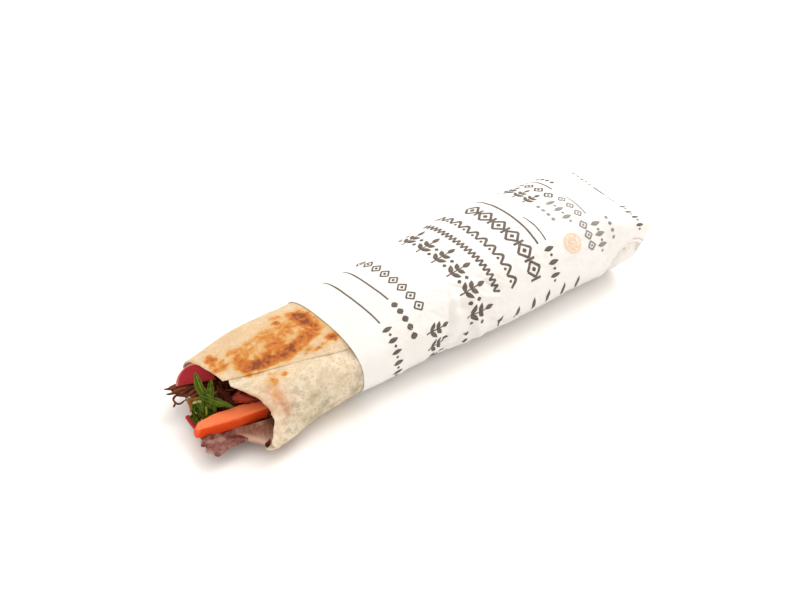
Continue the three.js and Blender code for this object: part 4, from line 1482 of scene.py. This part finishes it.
def beef_slice_front():
    """Thin slice that hangs down from under the tomato and turns back inside."""
    u, v = sheet_grid(120, 120)
    wide, long = 22, 22
    across, run = u * wide, v * long
    x = mix(-107, -84, u)
    bulge = np.minimum(1, 2.1 * u)
    top = np.stack([x, mix(-12.0, -21.2, bulge), mix(5.4, 10.4, bulge)], -1)
    edge = np.stack([x - 5.4 * bulge, mix(-14.4, -34.2, bulge), mix(2.9, 5.8, bulge)], -1)
    tuck = np.stack([x + 4, mix(-9, -18, u), np.full(u.shape, 3.6)], -1)
    knee = edge * 1.5 - (top + tuck) * 0.25
    v3 = v[..., None]
    middle = top * (1 - v3) ** 2 + 2 * knee * v3 * (1 - v3) + tuck * v3 ** 2
    place = flat(across, run)
    middle[..., 1:] += 0.6 * rough(place, (7, 6, 1), 2, 71)[..., None] * (1.0, 0.6)
    middle = ruffled(middle, across, run, 0.12, 72)
    border = from_border(u, v, wide, long)
    middle[..., 2] = np.maximum(middle[..., 2], 0.9)
    # Pale band along the fold: a paler edge of fat, and painted highlight where the fold turns to
    # the light.
    fold = 0.95 * bump((v - 0.35) * long + 0.9 * noise(place, (4, 4, 1), 73), 2.6)
    cloudy = 0.4 * smooth(rough(place, (5, 4, 1), 3, 74), 0.05, 0.5)
    # Painted shade: the pale marks fade out towards the lip.
    shaded = 1 - 0.8 * smooth(u, 0.5, 0.9)
    return slice_of(middle, thinned(border, 1.2), across=across, run=run,
                    pale=shaded * np.clip(fold + cloudy, 0, 1))


def beef_slice_lower():
    """Torn thin slice that sticks out low in front of the mouth."""
    u, v = sheet_grid(120, 100)
    long, wide = 24, 14
    run, across = u * long, v * wide
    torn = 1.6 * rough(flat(across, np.zeros_like(v)), (3.4, 1, 1), 4, 75)
    start = -119.9 + torn + 4 * np.abs(v - 0.5) ** 1.4
    x = mix(start, -90, u)
    y = mix(-11.6, -24.4 + 2.8 * u, v) + 0.9 * noise(flat(u * 20, v * 3), (5, 4, 1), 76) * v
    z = 5.6 + 0.4 * (1 - u) ** 2 * (1 - v) + 0.8 * rough(flat(run, across), (5.5, 4, 1), 2, 77)
    middle = np.stack([x, y, z], -1)
    middle = ruffled(middle, across, run, 0.16, 78)
    border = from_border(u, v, long, wide)
    middle[..., 2] = np.maximum(middle[..., 2], 3.8)
    cloudy = smooth(rough(flat(run, across), (3, 2.6, 1), 3, 79), -0.1, 0.5)
    pale = 0.35 * bump(border, 0.5) * cloudy + 0.6 * cloudy
    return slice_of(middle, thinned(border, 1.2), across=across, run=run,
                    pale=np.clip(pale, 0, 0.8))


def loose_strands(paths, thick, seed, flatness=0.7, pale=0.1):
    """Tapered strands of meat along paths."""
    shapes, count = [], 34
    for k, places in enumerate(paths):
        path = curve(places, count)
        path = path + 0.22 * np.stack([noise(path, 2.0, seed + k + s * 9) for s in range(3)], -1)
        radii = thick * np.linspace(1.0, 0.62, count) * (1 + 0.25 * noise(path, 1.3, seed + 5 + k))
        radii = radii * np.sin(np.linspace(0.35, np.pi - 0.15, count)) ** 0.35
        shapes.append(strand(path, radii, flatness, across=np.arange(STRAND_SIDES) * 0.35 + k,
                             run=np.linspace(0, 12, count)[:, None] + 3 * k,
                             pale=pale * (1 + k % 3)))
    return shapes


def beef_shred():
    """Dark ragged piece out of the mouth's back corner, with loose strands at its point."""
    u, v = sheet_grid(120, 80)
    long, wide = 20, 9
    run, across = u * long, v * wide
    torn = rough(flat(v * 10, np.zeros_like(v)), (1.8, 1, 1), 3, 81)
    start = -115.4 + 3.6 * np.abs(v - 0.22) ** 0.8 + 1.8 * torn
    spread = np.minimum(1, 1.6 * u)
    middle = np.stack([
        mix(start, -96, u),
        mix(17.6, 11, spread) + mix(2.8, wide, np.minimum(1, 1.9 * u)) * (0.5 - v),
        mix(9.4, 9.8, u) + mix(3.4, 6.0, spread) * (0.5 - v)
        + 1.2 * rough(flat(run, v * 8), (5, 4, 1), 2, 83),
    ], -1)
    middle = ruffled(middle, across, run, 0.42, 84)
    border = from_border(u, v, long, wide)
    thickness = thinned(border, 2.2 - 0.9 * (1 - u) ** 2, 1.1)
    curls = [
        [(-110, 13.8, 9.0), (-113.8, 14.8, 8.6), (-115.4, 13.8, 7.8), (-115.2, 12.4, 7.0),
         (-113.9, 11.4, 6.8), (-112.0, 11.0, 7.5), (-110.0, 10.8, 8.2)],
        [(-115.0, 12.6, 7.2), (-116.0, 12.4, 6.4), (-116.7, 12.1, 5.9)],
    ]
    strands = [
        [(-108, 15.6, 10.4), (-112.8, 17.6, 10.4), (-116.4, 19.0, 10.5)],
        [(-108, 14.6, 9.6), (-112.8, 15.6, 9.4), (-116.8, 16.9, 9.5)],
        [(-107, 14.0, 11.0), (-111.0, 15.0, 10.6), (-114.4, 16.2, 9.8)],
        [(-105, 12.6, 11.4), (-109.0, 12.6, 11.0), (-112.8, 13.2, 9.8)],
        [(-104, 10.8, 11.0), (-108.0, 10.6, 10.6), (-111.4, 11.2, 8.6)],
        [(-105, 9.0, 10.4), (-108.6, 9.0, 9.6), (-111.0, 9.6, 8.0)],
        [(-104, 14.4, 11.4), (-108.4, 15.6, 11.2), (-112.4, 16.6, 10.9)],
    ]
    pale = 0.3 * bump(border, 0.5) + 0.6 * (1 - smooth(u, 0.1, 0.4)) * smooth(torn, -0.2, 0.4)
    body = slice_of(middle, thickness, across=across, run=run, pale=pale)
    return gather(body, *loose_strands(strands, 1.1, 90, 0.8), *loose_strands(curls, 0.62, 99, 0.8))


def beef_flake():
    """Upright flake of lighter meat beside the parsley."""
    u, v = sheet_grid(90, 80)
    wide, long = 15, 8
    across, run = u * wide, v * long
    middle = np.stack([
        mix(-112.6, -98, u) + 1.2 * (0.5 - v) + 0.7 * noise(flat(run, across), 3, 101),
        mix(6.6, 3.6, u) - 1.4 * (0.5 - v) + 0.8 * (1 - u),
        mix(4.8, 10.4, v) + 0.5 * noise(flat(across, run), 4, 102),
    ], -1)
    middle = ruffled(middle, across, run, 0.3, 103)
    border = from_border(u, v, wide, long)
    pale = 0.8 * smooth(rough(flat(across, run), (3, 2.6, 1), 3, 104), -0.25, 0.45)
    return slice_of(middle, thinned(border, 2.0, 1.3), across=across, run=run, pale=pale)


def heap(y, z):
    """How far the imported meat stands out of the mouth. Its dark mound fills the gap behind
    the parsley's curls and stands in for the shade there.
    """
    mound = 17.0 * bump(y - 1.5, 9.0) * bump(z - 6.0, 6.0)
    return mound + 5.0 * bump(y - 2.5, 4.0) * bump(z - 4.0, 3.2)


def meat_core(looks):
    """Packed meat in the bread, its open face heaped and covered with loose strips."""
    packed = PAPER_THICK + PAPER_GAP + BREAD_THICK + 2 * GAP + 0.8
    columns = 150
    angle = np.linspace(0, 360, columns, endpoint=False)

    def ring(x, shrink, front):
        seam = along(SEAM, np.array(x))
        from_overlap = (angle - seam + 26 + 540) % 360 - 180
        depth = packed + (BREAD_THICK + LAYER_GAP) * np.minimum(1, 1.7 * bump(from_overlap, 50))
        points = mix(skin(x, angle, depth), middle_line(x), shrink)
        y, z = points[:, 1], points[:, 2]
        # Under the flap the filling stands back, so that a dark hollow is left.
        hollow = 9.0 * bump(y + 6.0, 9.0) * smooth(z, 8.5, 13.5)
        lumps = rough(points * (0, 1, 1), (1, 3.4, 2.6), 3, 111)
        points[:, 0] += end_shift(points) + front * (1.8 * lumps - heap(y, z) + hollow)
        return points

    shrinks = np.concatenate([np.linspace(0.97, 0.1, 34), [0.06, 0.03]])
    starts = mix(-92.6, -90.5, smooth(1 - shrinks, 0.7, 1.0))
    rings = [ring(x, shrink, 1.0 - 0.3 * (shrink < 0.15)) for x, shrink in zip(starts, shrinks)]
    rings += [ring(x, 0.0, 0.0) for x in (-80, -76, -70, -62, -50, -24, 6, 36, 60, 78, FILLING_END)]
    rings.append(ring(FILLING_END + 0.5, 0.5, 0.0))
    rings = np.array(rings)
    shapes = [loft(rings, across=np.arange(columns) * 0.6,
                   run=np.arange(len(rings))[:, None] * 0.8, pale=0.0)]
    draw = np.random.default_rng(17)
    for k in range(looks.shreds):
        y, z = draw.uniform(-15, 12), draw.uniform(4, 13)
        start = np.array((-91.6 - heap(y, z) + draw.uniform(-0.8, 0.8), y, z))
        lean, length = draw.uniform(-0.9, 0.9), draw.uniform(5, 11)
        ahead = np.array((draw.uniform(-0.25, 0.1), np.cos(lean), 0.7 * np.sin(lean)))
        bend = np.array((0.9, 0, draw.uniform(-1.2, 1.2)))
        places = [start - ahead * length / 2 + bend, start - ahead * 0.5,
                  start + ahead * length / 2 + bend]
        shapes += loose_strands([places], 1.0 + 0.5 * draw.random(), 120 + k, 0.55,
                                0.2 * draw.random())
    return gather(*shapes)


def corner_scrap():
    """Dark scrap of meat in the fold of the bread's lower lip."""
    places = [(-97.5, -28.7, 7.5), (-99.1, -30.3, 7.0), (-100.5, -31.9, 6.6)]
    return loose_strands([places], 1.25, 131, 0.75, 0.0)[0]


class WRAP_OT_meat(Operator):
    """Carves the meat slices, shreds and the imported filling"""

    bl_idname = "wrap.meat"
    bl_label = "Meat"

    def execute(self, context):
        looks = context.scene.wrap_filling
        # The packed meat and the scrap: browned beef, darker than its own colour as painted shade
        # for the hollow under the flap.
        dark = roast_meat("browned_beef_and_shade", "#2F0E08", "#61240F", "#844D2E", 0.3)
        crisp = roast_meat("crisp_beef", "#3E160B", "#6F2E14", "#945D38", 0.35)
        carved = roast_meat("carved_beef", "#704031", "#895A48", "#C29F8B", 0.25, 0.2)
        rare = roast_meat("pink_beef", "#612825", "#845A50", "#AA897C", 0.25, 0.25, 1.0)
        light = roast_meat("light_beef", "#7C421E", "#986538", "#B08556", 0.4)
        make_piece("beef_hanging_slice", beef_slice_front(), carved,
                   ["beef_slice_front"])
        make_piece("beef_torn_slice", beef_slice_lower(), rare,
                   ["beef_slice_lower"])
        make_piece("beef_ragged_shred", beef_shred(), crisp, ["beef_shred"])
        make_piece("beef_light_flake", beef_flake(), light, ["beef_flake"])
        make_piece("beef_packed", meat_core(looks), dark, ["meat_filling"])
        make_piece("beef_scrap", corner_scrap(), dark)
        return {"FINISHED"}


# ---- stage -------------------------------------------------------------------------------

def studio_sweep():
    """Matt white studio paper: bright and even, so that only soft shadows show on it."""
    material, tree, shader = new_material("studio_sweep")
    colour = mottled(tree, linear("#F5F5F5"), grain(tree, 60.0, 2.0), 0.3, 0.7, linear("#F7F7F7"))
    surface(tree, shader, colour, Roughness=0.9, Specular_IOR_Level=0.1)
    return material


def lay_floor(scene):
    """A wide flat floor that the wrap lies on."""
    side = 6.0
    mesh = bpy.data.meshes.new("floor")
    mesh.from_pydata([(-side, -side, 0), (side, -side, 0), (side, side, 0), (-side, side, 0)],
                     [], [(0, 1, 2, 3)])
    mesh.materials.append(studio_sweep())
    floor = bpy.data.objects.new("floor", mesh)
    floor.location.z = -0.0001
    scene.collection.objects.link(floor)


def hang_lights(scene, looks):
    """Even warm light from all round, and one large soft lamp above and behind."""
    world = bpy.data.worlds.new("studio")
    world.use_nodes = True
    background = world.node_tree.nodes["Background"]
    background.inputs["Color"].default_value = (1.0, 0.94, 0.88, 1.0)
    background.inputs["Strength"].default_value = looks.fill
    scene.world = world

    middle = Vector((CAD_BOX[0] + CAD_BOX[1]) / 2)
    key = bpy.data.lights.new("key", "AREA")
    key.shape = "DISK"
    key.size = 1.0
    key.energy = looks.key
    key.color = (1.0, 0.985, 0.97)
    lamp = bpy.data.objects.new("key", key)
    lamp.location = middle + Vector((0.86, 0.27, 0.84))
    lamp.rotation_euler = (middle - lamp.location).to_track_quat("-Z", "Y").to_euler()
    scene.collection.objects.link(lamp)


def set_camera(scene, looks):
    """The camera, which looks down at the wrap past its mouth."""
    lens = bpy.data.cameras.new("camera")
    lens.lens = looks.lens
    camera = bpy.data.objects.new("camera", lens)
    aim = Vector((0.0019, 0.0098, 0.0084))
    elevation, heading, roll = (np.radians(a) for a in (35.16, 53.354, -0.526))
    ahead = Vector((np.cos(elevation) * np.cos(heading), np.cos(elevation) * np.sin(heading),
                    -np.sin(elevation)))
    camera.location = aim - ahead * looks.distance
    turned = ahead.to_track_quat("-Z", "Y").to_matrix() @ Matrix.Rotation(roll, 3, "Z")
    camera.rotation_euler = turned.to_euler()
    scene.collection.objects.link(camera)
    scene.camera = camera


class WRAP_OT_stage(Operator):
    """Sets the floor, the soft lights and the camera"""

    bl_idname = "wrap.stage"
    bl_label = "Stage"

    def execute(self, context):
        scene = context.scene
        looks = scene.wrap_stage
        lay_floor(scene)
        hang_lights(scene, looks)
        set_camera(scene, looks)
        scene.view_settings.view_transform = "Standard"
        scene.view_settings.look = "None"
        return {"FINISHED"}


# ---- panel and run -----------------------------------------------------------------------

class WRAP_PT_panel(Panel):
    bl_label = "Shawarma Wrap"
    bl_space_type = "VIEW_3D"
    bl_region_type = "UI"
    bl_category = "Wrap"

    def draw(self, context):
        for group in SETTINGS:
            box = self.layout.box()
            looks = getattr(context.scene, group)
            for name in looks.bl_rna.properties.keys():
                if name not in ("rna_type", "name"):
                    box.prop(looks, name)
        for operator in OPERATORS:
            self.layout.operator(operator.bl_idname)


SETTINGS = {
    "wrap_paper": WrapPaper,
    "wrap_bread": WrapBread,
    "wrap_filling": WrapFilling,
    "wrap_stage": WrapStage,
}
OPERATORS = (
    WRAP_OT_stage, WRAP_OT_paper, WRAP_OT_print, WRAP_OT_bread, WRAP_OT_vegetables,
    WRAP_OT_parsley, WRAP_OT_meat,
)


def register():
    for cls in (*SETTINGS.values(), *OPERATORS, WRAP_PT_panel):
        bpy.utils.register_class(cls)
    for name, group in SETTINGS.items():
        setattr(bpy.types.Scene, name, PointerProperty(type=group))


def unregister():
    for name in SETTINGS:
        delattr(bpy.types.Scene, name)
    for cls in reversed((*SETTINGS.values(), *OPERATORS, WRAP_PT_panel)):
        bpy.utils.unregister_class(cls)


def main():
    register()
    for make in (bpy.ops.wrap.stage, bpy.ops.wrap.paper, bpy.ops.wrap.print, bpy.ops.wrap.bread,
                 bpy.ops.wrap.vegetables, bpy.ops.wrap.parsley, bpy.ops.wrap.meat):
        make()


if __name__ == "__main__":
    main()
